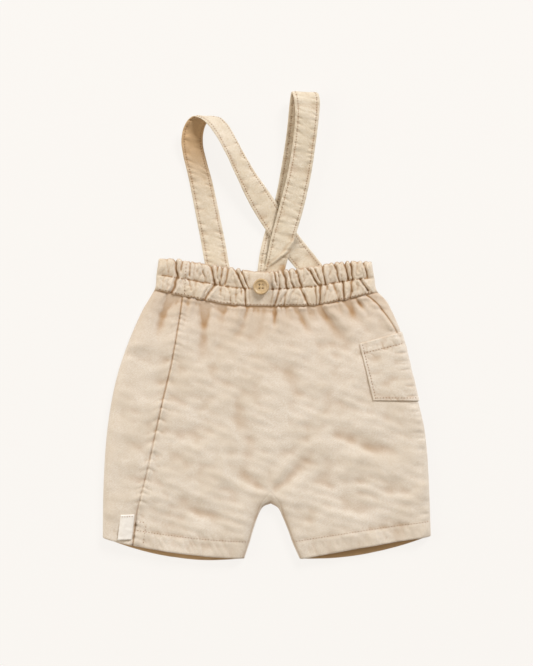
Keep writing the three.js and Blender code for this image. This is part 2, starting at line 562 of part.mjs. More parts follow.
// Patch pocket at the right side, made from the front panel's points moved out, with its outer edge at the seam
const POCKET = {
  gap: 0.4, puff: 0.9, rows: 14, columns: 8, topV: 0.165, lowV: 0.445,
  leftEdge: [{ t: 0, x: 78.8, y: -15.1 }, { t: 0.5, x: 84.9, y: -39.5 }, { t: 1, x: 90.5, y: -62.6 }],
};
function pocketWall() {
  const rows = spread(0, 1, POCKET.rows).map((t) => {
    const v = mix(POCKET.topV, POCKET.lowV, t);
    const inner = { x: along(POCKET.leftEdge, "t", "x", t), y: along(POCKET.leftEdge, "t", "y", t) };
    const outer = sidePoint("right", v);
    const reach = SIDE_REACH_BODY / Math.hypot(outer.x - inner.x, outer.y - inner.y);
    const columns = [...spread(0, 1 - reach, POCKET.columns), ...ARC.slice(1).map((share) => 1 - reach * share)];
    return columns.map((s) => {
      const node = sheetPoint(lerpPoint(inner, outer, s), v, "front", s === 1);
      const full = Math.sin(Math.PI * Math.min(1, s / 1.6)) * Math.sin(Math.PI * t) ** 0.6;
      node.thick = CLOTH + POCKET.puff * full;
      node.at = moved(node, POCKET.gap + node.thick);
      return node;
    });
  });
  return clothWall([{ rows }], (node) => moved(node, -node.thick));
}

// Folded tab at the left hem, made from the wrapped panel's points moved out
const LABEL = {
  gap: 0.4, columns: 3, rows: 6, v: 0.93,
  corners: { topLeft: { x: -123.7, y: -160.4 }, topRight: { x: -112.6, y: -159.9 },
    lowLeft: { x: -126.3, y: -181.0 }, lowRight: { x: -115.0, y: -180.6 } },
};
function labelWall() {
  const { topLeft, topRight, lowLeft, lowRight } = LABEL.corners;
  const rows = spread(0, 1, LABEL.rows).map((t) => spread(0, 1, LABEL.columns).map((s) => {
    const point = lerpPoint(lerpPoint(topLeft, lowLeft, t), lerpPoint(topRight, lowRight, t), s);
    const node = sheetPoint(point, LABEL.v, "front");
    node.at = moved(node, LABEL.gap + LABEL_CLOTH);
    return node;
  }));
  return clothWall([{ rows }], plainWall(LABEL_CLOTH));
}

// Four-hole button, turned from a rim profile, with its holes cut through
const BUTTON = { x: -4.5, y: 33.6, z: 9.8, radius: 6.9, thick: 2.8, tilt: 12, hole: 0.8, spacing: 1.4, sides: 28 };
function asSolid(geometry) {
  const plain = geometry.clone();
  plain.deleteAttribute("normal");
  plain.deleteAttribute("uv");
  const merged = mergeVertices(plain, 1e-4);
  return new wasm.Manifold(new wasm.Mesh({
    numProp: 3,
    vertProperties: new Float32Array(merged.attributes.position.array),
    triVerts: new Uint32Array(merged.index.array),
  }));
}
function fromSolid(solid) {
  const mesh = solid.getMesh();
  const geometry = new THREE.BufferGeometry();
  geometry.setAttribute("position", new THREE.Float32BufferAttribute(mesh.vertProperties, 3));
  geometry.setIndex(Array.from(mesh.triVerts));
  return geometry;
}
function buttonBody() {
  const { radius, thick, hole, spacing, sides } = BUTTON;
  const profile = [
    [0, 0], [radius * 0.78, 0], [radius * 0.95, thick * 0.22], [radius, thick * 0.5],
    [radius * 0.96, thick * 0.82], [radius * 0.87, thick], [radius * 0.76, thick * 0.93],
    [radius * 0.66, thick * 0.66], [0, thick * 0.58],
  ].map(([r, h]) => new THREE.Vector2(r, h));
  const disc = new THREE.LatheGeometry(profile, sides);
  disc.rotateX(Math.PI / 2);
  let solid = asSolid(disc);
  for (const [sx, sy] of [[-1, -1], [-1, 1], [1, -1], [1, 1]]) {
    const drill = new THREE.CylinderGeometry(hole, hole, thick * 3, 8);
    drill.rotateX(Math.PI / 2);
    drill.translate(sx * spacing, sy * spacing, 0);
    solid = solid.subtract(asSolid(drill));
  }
  return fromSolid(solid);
}

const cream = new THREE.MeshStandardMaterial({ color: 0xe2d3bd, roughness: 0.92, metalness: 0 });
const creamBand = new THREE.MeshStandardMaterial({ color: 0xdccbb2, roughness: 0.92, metalness: 0 });
const offWhite = new THREE.MeshStandardMaterial({ color: 0xe8e3da, roughness: 0.85, metalness: 0 });
const corozo = new THREE.MeshStandardMaterial({ color: 0xcfb88f, roughness: 0.45, metalness: 0 });

const garment = new THREE.Group();
function addPiece(name, geometry, material) {
  const piece = new THREE.Mesh(geometry, material);
  piece.name = name;
  garment.add(piece);
  return piece;
}

addPiece("front", clothWall([frontHalf("left"), frontHalf("right")], plainWall(CLOTH)), cream);
addPiece("back", clothWall([backHalf("left"), backHalf("right")], plainWall(CLOTH)), cream);
addPiece("waistband_front", bandFront(), creamBand);
addPiece("waistband_back", bandBack(), creamBand);
addPiece("strap_left", strapWall(STRAP_LEFT), cream);
addPiece("strap_right", strapWall(STRAP_RIGHT), cream);
addPiece("pocket", pocketWall(), cream);
addPiece("hem_label", labelWall(), offWhite);
const button = addPiece("button", buttonBody(), corozo);
button.rotation.y = THREE.MathUtils.degToRad(-BUTTON.tilt);
button.position.set(BUTTON.x, BUTTON.y, BUTTON.z);

export default garment;
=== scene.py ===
"""Baby shorts with crossed shoulder straps, laid flat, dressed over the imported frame.

Shapes are worked out in millimetres on the frame's axes (X across the garment, Y from the hems to the
straps, Z up from the surface it lies on) and turned to metres where a mesh is made.
"""

from __future__ import annotations

import logging
import math
from dataclasses import dataclass, field
from enum import Enum

import bpy
import numpy as np
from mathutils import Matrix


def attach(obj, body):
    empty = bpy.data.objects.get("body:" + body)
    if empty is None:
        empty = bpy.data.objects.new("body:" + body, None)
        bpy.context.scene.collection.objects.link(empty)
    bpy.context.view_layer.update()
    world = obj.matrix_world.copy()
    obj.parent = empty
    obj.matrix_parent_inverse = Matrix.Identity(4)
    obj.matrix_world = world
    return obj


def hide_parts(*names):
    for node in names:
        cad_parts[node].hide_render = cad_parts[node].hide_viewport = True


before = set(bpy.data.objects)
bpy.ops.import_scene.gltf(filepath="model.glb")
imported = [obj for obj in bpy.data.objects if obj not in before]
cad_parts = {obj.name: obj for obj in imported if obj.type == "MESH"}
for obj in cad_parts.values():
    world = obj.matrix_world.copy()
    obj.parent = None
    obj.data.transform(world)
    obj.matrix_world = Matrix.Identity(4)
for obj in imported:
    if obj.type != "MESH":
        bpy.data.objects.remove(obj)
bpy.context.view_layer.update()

LOG = logging.getLogger("shorts")
MM = 0.001

# The arrays of a sheet or a wall, by name
Arrays = dict[str, np.ndarray]
# Where a row of stitches runs: its points, and the way out of the cloth at each
Path = tuple[np.ndarray, np.ndarray]
# Part of a wall: outer points, inner points, cloth places, painted shade, and whether its faces are
# turned over
Strip = tuple[np.ndarray, np.ndarray, np.ndarray, np.ndarray, bool]

# Wall thicknesses and the room left between two pieces that are sewn together
CLOTH = 1.2
BAND_CLOTH = 1.8
STRAP_CLOTH = 1.5
LABEL_CLOTH = 1.0
SEAM_GAP = 0.3
FORK_GAP = 0.7
# Lowest height of any point, so that nothing sinks into the surface below
GROUND = 0.02

# Side fold: height of its widest point, and how far it reaches in over the top and under the bottom
SIDE_RISE = 3.4
SIDE_REACH_BAND = 4.2
SIDE_REACH_BODY = 8.5
SIDE_REACH_UNDER = 4.0

# Waistband: room inside it for the straps, and how much each elastic channel bulges
BAND_HOLLOW_TOP = 4.1
CHANNEL_BULGE = 1.7
STACK_LIFT = 1.8
STACK_LEFT, STACK_RIGHT, STACK_SOFT = -11.0, 20.0, 7.0
PATCH_LEFT, PATCH_RIGHT = -14.5, 3.0
PATCH_BULGE = 0.35

# Levels down the garment: -1 is the band's top edge, 0 the waist seam, CROTCH the fork, and 1 the hem
CROTCH = 0.78
MIDDLE_X, MIDDLE_LEAN, MIDDLE_Y = 0.1, 4.1, 17.2
HEM_ROW = 0.94
# Height of the band, millimetres down a panel for one level, and half the waist's width
BAND_HIGH = 31.0
LEVEL_MM = 190.0
WAIST_HALF = 95.0


class Side(Enum):
    """A half of the garment, as the viewer sees it."""

    LEFT = "left"
    RIGHT = "right"


class Face(Enum):
    """The upper or the under face of the garment as it lies."""

    FRONT = "front"
    BACK = "back"


def smooth(t: np.ndarray) -> np.ndarray:
    """Soft step: 3t² - 2t³ with t kept from 0 to 1."""
    c = np.clip(t, 0.0, 1.0)
    return c * c * (3 - 2 * c)


def mix(a: np.ndarray, b: np.ndarray, t: np.ndarray) -> np.ndarray:
    """Straight line from a at t = 0 to b at t = 1, exact at both ends."""
    return a * (1 - t) + b * t


def bell(off: np.ndarray, half: float | np.ndarray) -> np.ndarray:
    """Bell curve exp(-(off / half)²): 1 where off is 0, and 0.37 at the half width."""
    return np.exp(-((off / half) ** 2))


def unit(vectors: np.ndarray) -> np.ndarray:
    """Each vector over its own length."""
    return vectors / np.maximum(np.linalg.norm(vectors, axis=-1, keepdims=True), 1e-9)


class Table:
    """Rows of numbers under named columns, read at any place along the first column."""

    def __init__(self, columns: str, *rows: tuple[float, ...]) -> None:
        """Keep the columns' names and the rows.

        Args:
            columns: the names, first the one that the rows are ordered by.
            rows: the numbers of each row.
        """
        self.columns = columns.split()
        self.rows = np.array(rows, dtype=float)

    def column(self, name: str) -> np.ndarray:
        """All the numbers of one column."""
        return self.rows[:, self.columns.index(name)]

    def at(self, name: str, where: np.ndarray) -> np.ndarray:
        """Read a column on a smooth curve through its rows.

        Between two rows the curve is the cubic with their values, and at each row the slope of the straight
        line between its neighbours. Beyond the ends it keeps the end's value.

        Args:
            name: the column to read.
            where: places along the first column.

        Returns:
            The column's value at each place.
        """
        keys = self.rows[:, 0]
        values = self.column(name)
        last = len(keys) - 1
        before = np.maximum(np.arange(last + 1) - 1, 0)
        after = np.minimum(np.arange(last + 1) + 1, last)
        slope = (values[after] - values[before]) / (keys[after] - keys[before])
        at = np.clip(np.asarray(where, dtype=float), keys[0], keys[last])
        i = np.clip(np.searchsorted(keys, at, side="right") - 1, 0, last - 1)
        step = keys[i + 1] - keys[i]
        t = (at - keys[i]) / step
        bend = step * (t * (1 - t) ** 2 * slope[i] + t * t * (t - 1) * slope[i + 1])
        return mix(values[i], values[i + 1], t * t * (3 - 2 * t)) + bend


# Outline of each side, from the band's top edge down to the hem
SIDE_LINE = {
    Side.LEFT: Table(
        "v x y",
        (-1.0, -92.3, 57.5), (-0.5, -94.2, 44.5), (0.0, -95.9, 31.2), (0.04, -100.6, 23.2),
        (0.082, -106.1, 13.9), (0.195, -116.7, -9.9), (0.332, -126.8, -38.8), (0.46, -132.9, -66.0),
        (0.59, -136.7, -93.2), (0.726, -138.8, -122.1), (0.868, -139.8, -151.9), (1.0, -140.0, -179.9),
    ),
    Side.RIGHT: Table(
        "v x y",
        (-1.0, 89.6, 54.3), (-0.5, 91.8, 41.2), (0.0, 94.9, 29.1), (0.035, 102.1, 21.8),
        (0.07, 106.0, 14.7), (0.13, 111.8, 2.0), (0.18, 115.2, -8.2), (0.32, 122.5, -37.1),
        (0.45, 129.2, -64.3), (0.55, 134.0, -84.7), (0.65, 136.6, -105.0), (0.75, 138.0, -126.0),
        (0.85, 138.9, -147.0), (1.0, 140.0, -178.3),
    ),
}
# Inner leg outline, which is the back panel's fold, with w from 0 at the fork to 1 at the hem
INNER_LEG = Table(
    "w leftX leftY rightX rightY",
    (0.0, 3.3, -151.2, 3.3, -151.2), (0.12, -3.2, -154.0, 9.6, -155.0), (0.3, -7.4, -161.6, 13.4, -162.6),
    (0.55, -11.8, -174.4, 18.3, -174.4), (0.75, -14.8, -184.8, 22.0, -184.8),
    (1.0, -19.2, -197.8, 28.0, -198.2),
)
# Inner leg seam, where the front panel ends
INNER_SEAM = Table(
    "w leftX leftY rightX rightY",
    (0.0, 3.3, -140.4, 3.3, -140.4), (0.12, -3.6, -148.6, 10.3, -149.2), (0.3, -8.4, -161.0, 14.5, -162.0),
    (0.55, -12.8, -174.0, 19.4, -174.0), (0.75, -15.8, -184.4, 23.0, -184.4),
    (1.0, -20.2, -197.4, 29.1, -197.8),
)
# Where the front band meets the back band, from the top edge to the waist seam
BAND_SEAM = {Side.LEFT: (-70.1, -71.8), Side.RIGHT: (80.1, 84.6)}
# Left front seam, where the wrapped back panel meets the front panel
LEFT_SEAM = Table(
    "v x",
    (0.0, -71.8), (0.08, -74.1), (0.27, -80.9), (0.42, -88.0), (0.55, -94.0), (0.74, -102.9),
    (0.87, -110.1), (1.0, -113.8),
)
# How far in from the right outline the right side seam lies on the top face
RIGHT_SEAM_INSET = Table(
    "v inset",
    (0.0, 10.3), (0.05, 8.4), (0.1, 6.0), (0.16, 3.6), (0.22, 1.8), (0.3, 1.4), (1.0, 1.4),
)
# Lines of the band's top edge and of the waist seam, across the garment
BAND_TOP = Table(
    "x y",
    (-95, 57.5), (-78.6, 56.4), (-52.4, 52.3), (-30.8, 48.9), (-9.2, 46.3), (11.2, 46.6), (47.5, 51.7),
    (73.2, 54.8), (92, 54.4),
)
WAIST_SEAM = Table(
    "x y",
    (-96, 31.2), (-66.1, 24.4), (-36.5, 18.9), (-16, 17.1), (26.9, 17.2), (45.4, 18.2), (70.2, 23.4),
    (95, 29.1),
)
# Stitches that close the notch beside the tab: its step and its upright
NOTCH_ROWS = (((-111.3, -166.2), (-103.6, -166.4)), ((-102.6, -169.0), (-105.0, -184.8)))
# How far each hem hangs below a straight line from side to inner leg, at the middle of the leg
HEM_SAG = {
    (Face.FRONT, Side.LEFT): -3.2, (Face.FRONT, Side.RIGHT): 0.8,
    (Face.BACK, Side.LEFT): -8.1, (Face.BACK, Side.RIGHT): -5.9,
}
# Height of the top face at each level, before its puffs and folds
LOFT = Table(
    "v z",
    (-1.0, 6.1), (0.0, 6.3), (0.05, 7.6), (0.15, 9.3), (0.35, 10.0), (0.7, 9.8), (0.9, 9.2), (1.0, 8.6),
)
# Gathers: x at the waist seam, depth, how far each runs down the panel below the seam, and how far it leans
# sideways for each millimetre down
GATHERS = Table(
    "low deep run lean",
    (-89.5, 0.8, 9, -0.5), (-82.0, 1.3, 44, -0.42), (-66.5, 1.0, 12, -0.2), (-60.0, 0.7, 9, -0.2),
    (-51.7, 1.3, 40, -0.13), (-45.5, 0.9, 10, -0.1), (-39.5, 1.2, 9, -0.1), (-33.0, 1.2, 13, -0.1),
    (-27.0, 0.8, 8, -0.1), (-22.2, 1.2, 10, -0.1), (-17.0, 1.3, 26, -0.16), (6.8, 1.3, 22, 0.0),
    (12.2, 1.0, 9, 0.1), (17.4, 1.0, 10, 0.2), (22.8, 1.3, 9, 0.3), (28.4, 1.3, 62, 0.78),
    (34.2, 0.8, 10, 0.3), (41.0, 1.3, 12, 0.4), (46.8, 1.0, 10, 0.5), (52.4, 0.8, 38, 0.8),
    (58.2, 1.3, 10, 0.5), (65.4, 1.0, 9, 0.5), (72.4, 1.2, 15, 0.7),
)
# Creases of the gathered band, read off the photo: x and level of both ends, depth and half width
BAND_CREASES = Table(
    "x0 v0 x1 v1 deep half",
    (-90.4, -1, -89.1, -0.5, 0.6, 1), (-84.9, -1, -83.6, -0.62, 0.7, 1), (-78.1, -1, -76.2, -0.5, 2.1, 1.3),
    (-72.4, -1, -73.1, -0.72, 1, 0.9), (-64.6, -1, -65.9, -0.6, 1.2, 0.8),
    (-59.4, -1, -59.8, -0.75, 0.5, 0.9), (-56, -1, -52.3, -0.52, 0.9, 1.1),
    (-47.6, -1, -44.3, -0.5, 2.1, 1.4), (-42.4, -1, -41.3, -0.55, 1.2, 0.9),
    (-37.9, -1, -40.1, -0.5, 1.5, 1), (-32.8, -1, -35.4, -0.55, 1, 1), (-26.4, -1, -19.8, -0.5, 2, 1.4),
    (-22.1, -1, -15.4, -0.5, 1.6, 1), (1.9, -1, 5, -0.5, 1.4, 0.9), (6.2, -1, 8.3, -0.6, 1.3, 0.8),
    (9.8, -1, 10.6, -0.5, 1.1, 0.8), (14.1, -1, 17.3, -0.5, 2, 1.3), (18.5, -1, 22.2, -0.5, 1.3, 0.9),
    (24.4, -1, 29.5, -0.5, 1.7, 1.1), (31.1, -1, 31.6, -0.75, 0.6, 0.9), (34.7, -1, 44.4, -0.5, 1.9, 1.2),
    (40.4, -0.95, 46.5, -0.5, 1.3, 0.9), (47.5, -1, 49.9, -0.5, 1.7, 0.9), (52.8, -1, 53.7, -0.7, 0.5, 1.1),
    (57.8, -1, 62.1, -0.5, 1.8, 1.1), (63.3, -0.68, 64.2, -0.5, 1.2, 0.8), (66.3, -1, 68.9, -0.5, 2.1, 1.2),
    (70.6, -1, 73.1, -0.5, 1.7, 1), (76.6, -1, 78.3, -0.7, 0.6, 1.1), (82.1, -1, 85.4, -0.55, 1.5, 1.1),
    (87.3, -0.85, 88.1, -0.55, 0.6, 1), (-76.2, -0.5, -81.6, 0, 2.3, 1.4),
    (-87.4, -0.5, -89.1, -0.05, 0.6, 1.3), (-83.6, -0.42, -84.9, -0.1, 0.6, 1),
    (-66.6, -0.5, -64.5, -0.2, 0.7, 1.2), (-59.8, -0.5, -62.3, 0, 0.6, 1.3),
    (-44.3, -0.5, -53.6, 0, 2.3, 1.5), (-49.2, -0.42, -55.7, -0.03, 1.2, 0.9),
    (-38.1, -0.5, -39.8, -0.25, 0.7, 1.2), (-33, -0.5, -30.5, -0.05, 0.8, 1.3),
    (-25.8, -0.5, -27.1, -0.1, 0.7, 1.2), (-18.4, -0.5, -18.1, 0, 1.8, 1),
    (-22.4, -0.5, -21.8, -0.3, 0.8, 0.9), (-14.5, -0.45, -14.2, -0.05, 0.8, 0.8),
    (4.9, -0.5, 3, 0, 1.1, 0.9), (11.2, -0.5, 5.7, 0, 1.8, 1.1), (17.6, -0.5, 14.2, -0.02, 1.1, 1),
    (22.7, -0.45, 18, -0.1, 0.9, 1), (28.7, -0.5, 35.4, -0.02, 1.8, 1.2), (41.3, -0.5, 42.6, 0, 1.4, 0.9),
    (46, -0.5, 44.7, 0, 2.1, 1.2), (51.6, -0.45, 46.9, 0, 0.9, 1.2), (56.2, -0.5, 61.3, -0.03, 1.2, 1.5),
    (64.5, -0.5, 65.8, 0, 2, 1), (72.2, -0.5, 71, -0.03, 1.6, 1.3), (79.7, -0.5, 86.5, -0.1, 2.3, 1.2),
    (76.2, -0.4, 77.5, -0.05, 0.6, 1.2), (91.2, -0.5, 93.3, 0, 0.9, 1.2),
)
# Soft creases of the body that the frame has too: two ends, depth and half width
CREASES = Table(
    "x0 y0 x1 y1 deep half",
    (-124, -22, -104, -27, 0.9, 6), (-101, -43, -80, -49, 0.7, 6), (-88, -90, -54, -96, 0.7, 8),
    (-76, -143, -42, -166, 0.8, 7), (52, -86, 112, -114, 0.9, 9), (34, -128, 82, -133, 0.7, 8),
    (-26, -52, -14, -112, 0.6, 9), (3, -140, -30, -120, 0.9, 6), (4, -140, 36, -112, 0.9, 6),
)


def ripples(x: np.ndarray, y: np.ndarray, size_x: float, size_y: float, seed: int) -> np.ndarray:
    """Uneven ripples of about the sizes given, from -1 to 1 nearly everywhere.

    The sum of 28 cosine waves whose counts per millimetre are spread round 1/size_x and 1/size_y.

    Args:
        x: places across, in millimetres.
        y: places along, in millimetres.
        size_x: usual distance between two ripples across.
        size_y: usual distance between two ripples along.
        seed: picks the spread, the same on each run.

    Returns:
        The height of the ripples at each place.
    """
    rng = np.random.default_rng(seed)
    count = 28
    turn = rng.uniform(0, 2 * math.pi, count)
    reach = rng.uniform(0.55, 1.35, count)
    kx = 2 * math.pi * reach * np.cos(turn) / size_x
    ky = 2 * math.pi * reach * np.sin(turn) / size_y
    phase = rng.uniform(0, 2 * math.pi, count)
    waves = np.cos(x[..., None] * kx + y[..., None] * ky + phase)
    return waves.sum(axis=-1) / math.sqrt(count) * 0.75


def billow(x: np.ndarray, y: np.ndarray, size_x: float, size_y: float, seed: int) -> np.ndarray:
    """Rounded puffs with narrow creases between them: the root of how far the ripples are from their mean.

    Args:
        x: places across, in millimetres.
        y: places along, in millimetres.
        size_x: size of the ripples across; creases are 0.7 of it apart.
        size_y: size of the ripples along.
        seed: picks the ripples.

    Returns:
        From 0 in a crease to a little over 1 on a puff.
    """
    return np.minimum(np.abs(ripples(x, y, size_x, size_y, seed)) * 1.7, 1.15) ** 0.6


@dataclass(frozen=True)
class Crease:
    """One listed crease: a trough along a bent line, with a ridge beside it."""

    start: tuple[float, float]
    middle: tuple[float, float]
    end: tuple[float, float]
    deep: float
    half: float
    ridge: float = 0.5

    def height(self, x: np.ndarray, y: np.ndarray) -> np.ndarray:
        """Height of the crease at each place.

        The line is the parabola with the three points as its control points. Across it the trough is a bell
        of the given half width, which grows along the line, and the ridge a wider bell to the left of it;
        both are deepest at the start and fade to the end as a cosine where the crease comes from the gathers,
        and rise and fall as a half sine elsewhere.

        Args:
            x: places across, in millimetres.
            y: places along, in millimetres.

        Returns:
            Below 0 in the trough, above 0 on the ridge.
        """
        t = np.linspace(0, 1, 15)[:, None]
        a, b, c = (np.array(p, dtype=float) for p in (self.start, self.middle, self.end))
        line = a * (1 - t) ** 2 + 2 * b * t * (1 - t) + c * t * t
        best = np.full(x.shape, 1e9)
        side = np.zeros(x.shape)
        share = np.zeros(x.shape)
        for k in range(len(line) - 1):
            ex, ey = line[k + 1] - line[k]
            length2 = ex * ex + ey * ey
            s = np.clip(((x - line[k, 0]) * ex + (y - line[k, 1]) * ey) / length2, 0, 1)
            dx = x - line[k, 0] - ex * s
            dy = y - line[k, 1] - ey * s
            away = np.hypot(dx, dy)
            near = away < best
            best = np.where(near, away, best)
            side = np.where(near, np.sign(ex * dy - ey * dx), side)
            share = np.where(near, (k + s) / (len(line) - 1), share)
        from_gathers = self.start[1] > 14
        fade = np.cos(math.pi / 2 * share) if from_gathers else np.sin(math.pi * share)
        half = self.half * (0.62 + 0.75 * share)
        fade = fade * np.exp(-np.maximum(best - 4 * half, 0))
        trough = bell(best, half)
        ridge = bell(best * np.where(side == 0, 1, side) - 1.75 * half, 0.95 * half)
        return self.deep * fade * (self.ridge * ridge - trough)


# Creases that the photo shows and the frame has only in part, in millimetres: x and y of the start, middle
# and end, depth, half width and ridge
BODY_CREASES = [Crease(row[:2], row[2:4], row[4:6], *row[6:]) for row in (
    (-80.5, 28, -90, 4, -99, -22, 2.8, 4.2, -0.35), (-51.9, 21, -54, -4, -54.5, -26, 2.6, 4.6, 0.5),
    (-15.5, 17, -19, 0, -33, -20, 2.1, 4.6, -0.45), (7.0, 18, 7.3, 4, 5.0, -6, 3.0, 2.2, 0.6),
    (-4.0, 12, -3.0, 2, -6.0, -10, 1.1, 4.2, 0.3), (24.5, 18, 30, 0, 50, -22, 2.2, 4.0, 0.6),
    (44, 18, 56, -2, 74, -20, 2.4, 4.8, 0.6), (68, 23, 74, 4, 92, -8, 2.2, 4.2, 0.6),
    (77.5, 22, 82, 14, 88, 6, 1.6, 2.2, 0.6), (-36.0, 18, -38, 10, -37, 0, 1.2, 3.4, 0.4),
    (-66, 23, -70, 8, -73, -4, 1.2, 2.8, 0.4), (17, 17, 19, 8, 23, -2, 1.1, 3.0, 0.4),
    (35, 17, 37, 10, 43, 2, 1.3, 2.4, 0.4), (-26, 17, -27, 10, -30, 2, 0.9, 2.6, 0.4),
    (60, 20, 63, 12, 68, 6, 1.0, 2.4, 0.4), (-126, -18, -112, -27, -96, -24, 1.1, 4.4, 0.5),
    (-106, -42, -92, -49, -74, -45, 1.0, 4.8, 0.5), (-92, -22, -84, -30, -70, -34, 0.9, 4.0, 0.5),
    (-90, -86, -70, -97, -48, -92, 0.9, 6.5, 0.4), (-80, -140, -60, -159, -36, -166, 1.1, 6.0, 0.4),
    (118, -112, 82, -104, 48, -82, 1.2, 6.5, 0.4), (88, -130, 58, -135, 32, -126, 1.0, 6.0, 0.4),
    (-28, -48, -25, -84, -12, -116, 0.9, 7.0, 0.4), (3, -140, -12, -134, -36, -116, 1.3, 4.6, 0.5),
    (4, -140, 18, -130, 42, -108, 1.3, 4.6, 0.5), (2, -139, 1, -124, 4, -104, 0.8, 4.6, 0.5),
    (-62, -24, -44, -36, -28, -60, 0.9, 7.0, 0.5), (10, -28, 24, -48, 30, -80, 0.9, 7.0, 0.5),
    (-120, -94, -104, -105, -90, -126, 0.8, 5.0, 0.5), (130, -138, 110, -141, 94, -130, 0.9, 5.0, 0.5),
    (-98, -128, -84, -139, -78, -158, 0.8, 5.0, 0.5), (100, -156, 76, -159, 58, -148, 0.9, 5.0, 0.5),
)]


@dataclass
class Shorts:
    """The laid form that every panel, the band, the pocket and the tab are worked out from."""

    starts: np.ndarray = field(init=False)
    ends: np.ndarray = field(init=False)
    ways_out: np.ndarray = field(init=False)

    def __post_init__(self) -> None:
        """Lay the outline out as short straight segments, each with the way out of the cloth."""
        runs = [
            (self.side_point(side, np.linspace(-1.05, 1, 161)), (sign, 0.0))
            for side, sign in ((Side.LEFT, -1.0), (Side.RIGHT, 1.0))
        ]
        legs = np.linspace(CROTCH, 1.02, 61)
        runs += [
            (self.leg_point(INNER_LEG, side, legs), (sign, -0.4))
            for side, sign in ((Side.LEFT, 1.0), (Side.RIGHT, -1.0))
        ]
        self.starts = np.concatenate([points[:-1] for points, _ in runs])
        self.ends = np.concatenate([points[1:] for points, _ in runs])
        ways = np.concatenate([np.tile(way, (len(points) - 1, 1)) for points, way in runs])
        along = self.ends - self.starts
        across = unit(np.stack([along[:, 1], -along[:, 0]], axis=-1))
        sign = np.sign((across * ways).sum(axis=-1, keepdims=True))
        self.ways_out = across * sign

    def side_point(self, side: Side, v: np.ndarray) -> np.ndarray:
        """Point of the side outline at each level, as x and y."""
        table = SIDE_LINE[side]
        return np.stack([table.at("x", v), table.at("y", v)], axis=-1)

    def leg_point(self, table: Table, side: Side, v: np.ndarray) -> np.ndarray:
        """Point of an inner leg line at each level, as x and y."""
        w = (v - CROTCH) / (1 - CROTCH)
        return np.stack([table.at(side.value + "X", w), table.at(side.value + "Y", w)], axis=-1)

    def inner_point(self, side: Side, v: np.ndarray, face: Face) -> np.ndarray:
        """Inner end of each row: the middle above the fork, and the inner leg below it."""
        drop = 202.0 if face is Face.FRONT else 215.9
        middle = np.stack([MIDDLE_X + MIDDLE_LEAN * v, MIDDLE_Y - drop * v], axis=-1)
        leg = self.leg_point(INNER_SEAM if face is Face.FRONT else INNER_LEG, side, v)
        return np.where((v > CROTCH)[..., None], leg, middle)

    def row_point(self, side: Side, v: np.ndarray, u: np.ndarray, face: Face) -> np.ndarray:
        """Point of a panel's row.

        The straight line from the outline to the inner end, lowered to follow the waist seam at the top and
        the hem at the bottom.

        Args:
            side: the half of the garment.
            v: level of each point.
            u: 0 at the outline to 1 at the inner end.
            face: upper or under face.

        Returns:
            x and y of each point.
        """
        v, u = np.broadcast_arrays(v, u)
        nought = np.zeros_like(v)
        share = u[..., None]
        point = mix(self.side_point(side, v), self.inner_point(side, v, face), share)
        waist = mix(self.side_point(side, nought), self.inner_point(side, nought, face), share)
        sag = self.waist_y(waist[..., 0]) - waist[..., 1]
        hem = HEM_SAG[face, side] * 4 * u * (1 - u)
        point[..., 1] += sag * (1 - smooth(v / 0.6)) + hem * smooth((v - 0.35) / 0.65)
        return point

    def from_outline(self, xy: np.ndarray) -> tuple[np.ndarray, np.ndarray]:
        """Distance in from the outline and the way out towards it.

        Args:
            xy: points, in an array of any shape that ends with 2.

        Returns:
            The distance to the nearest segment, and the unit vector to its nearest point, or the segment's
            own way out where the point is on it.
        """
        flat = xy.reshape(-1, 2)
        along = self.ends - self.starts
        length2 = np.maximum((along**2).sum(axis=-1), 1e-9)
        distance = np.empty(len(flat))
        out = np.empty((len(flat), 2))
        for first in range(0, len(flat), 6000):
            part = flat[first : first + 6000]
            rel = part[:, None] - self.starts[None]
            t = np.clip((rel * along).sum(axis=-1) / length2, 0, 1)
            gap = self.starts + along * t[..., None] - part[:, None]
            away = np.linalg.norm(gap, axis=-1)
            near = away.argmin(axis=1)
            rows = np.arange(len(part))
            best = away[rows, near]
            distance[first : first + 6000] = best
            direct = gap[rows, near] / np.maximum(best, 1e-9)[:, None]
            out[first : first + 6000] = np.where(best[:, None] > 0.4, direct, self.ways_out[near])
        return distance.reshape(xy.shape[:-1]), out.reshape(xy.shape)

    def band_creases(self, x: np.ndarray, v: np.ndarray) -> np.ndarray:
        """Depth of the band's creases: a sharp trough along each one's wavy line, between two low ridges."""
        depth = np.zeros_like(x)
        for x0, v0, x1, v1, deep, half in BAND_CREASES.rows:
            share = (v - v0) / (v1 - v0)
            wave = 0.5 * ripples(share * 0 + x0, BAND_HIGH * v, 11, 11, 17)
            off = np.abs(x - mix(x0, x1, np.clip(share, 0, 1)) - wave) / half
            ends = smooth((v - v0) / 0.07 + 0.75) * smooth((v1 - v) / 0.07 + 0.75)
            trough = np.exp(-(off**1.35)) - 0.36 * bell(off - 2.0, 0.95)
            depth = depth + deep * trough * ends
        return np.minimum(depth, 2.3)

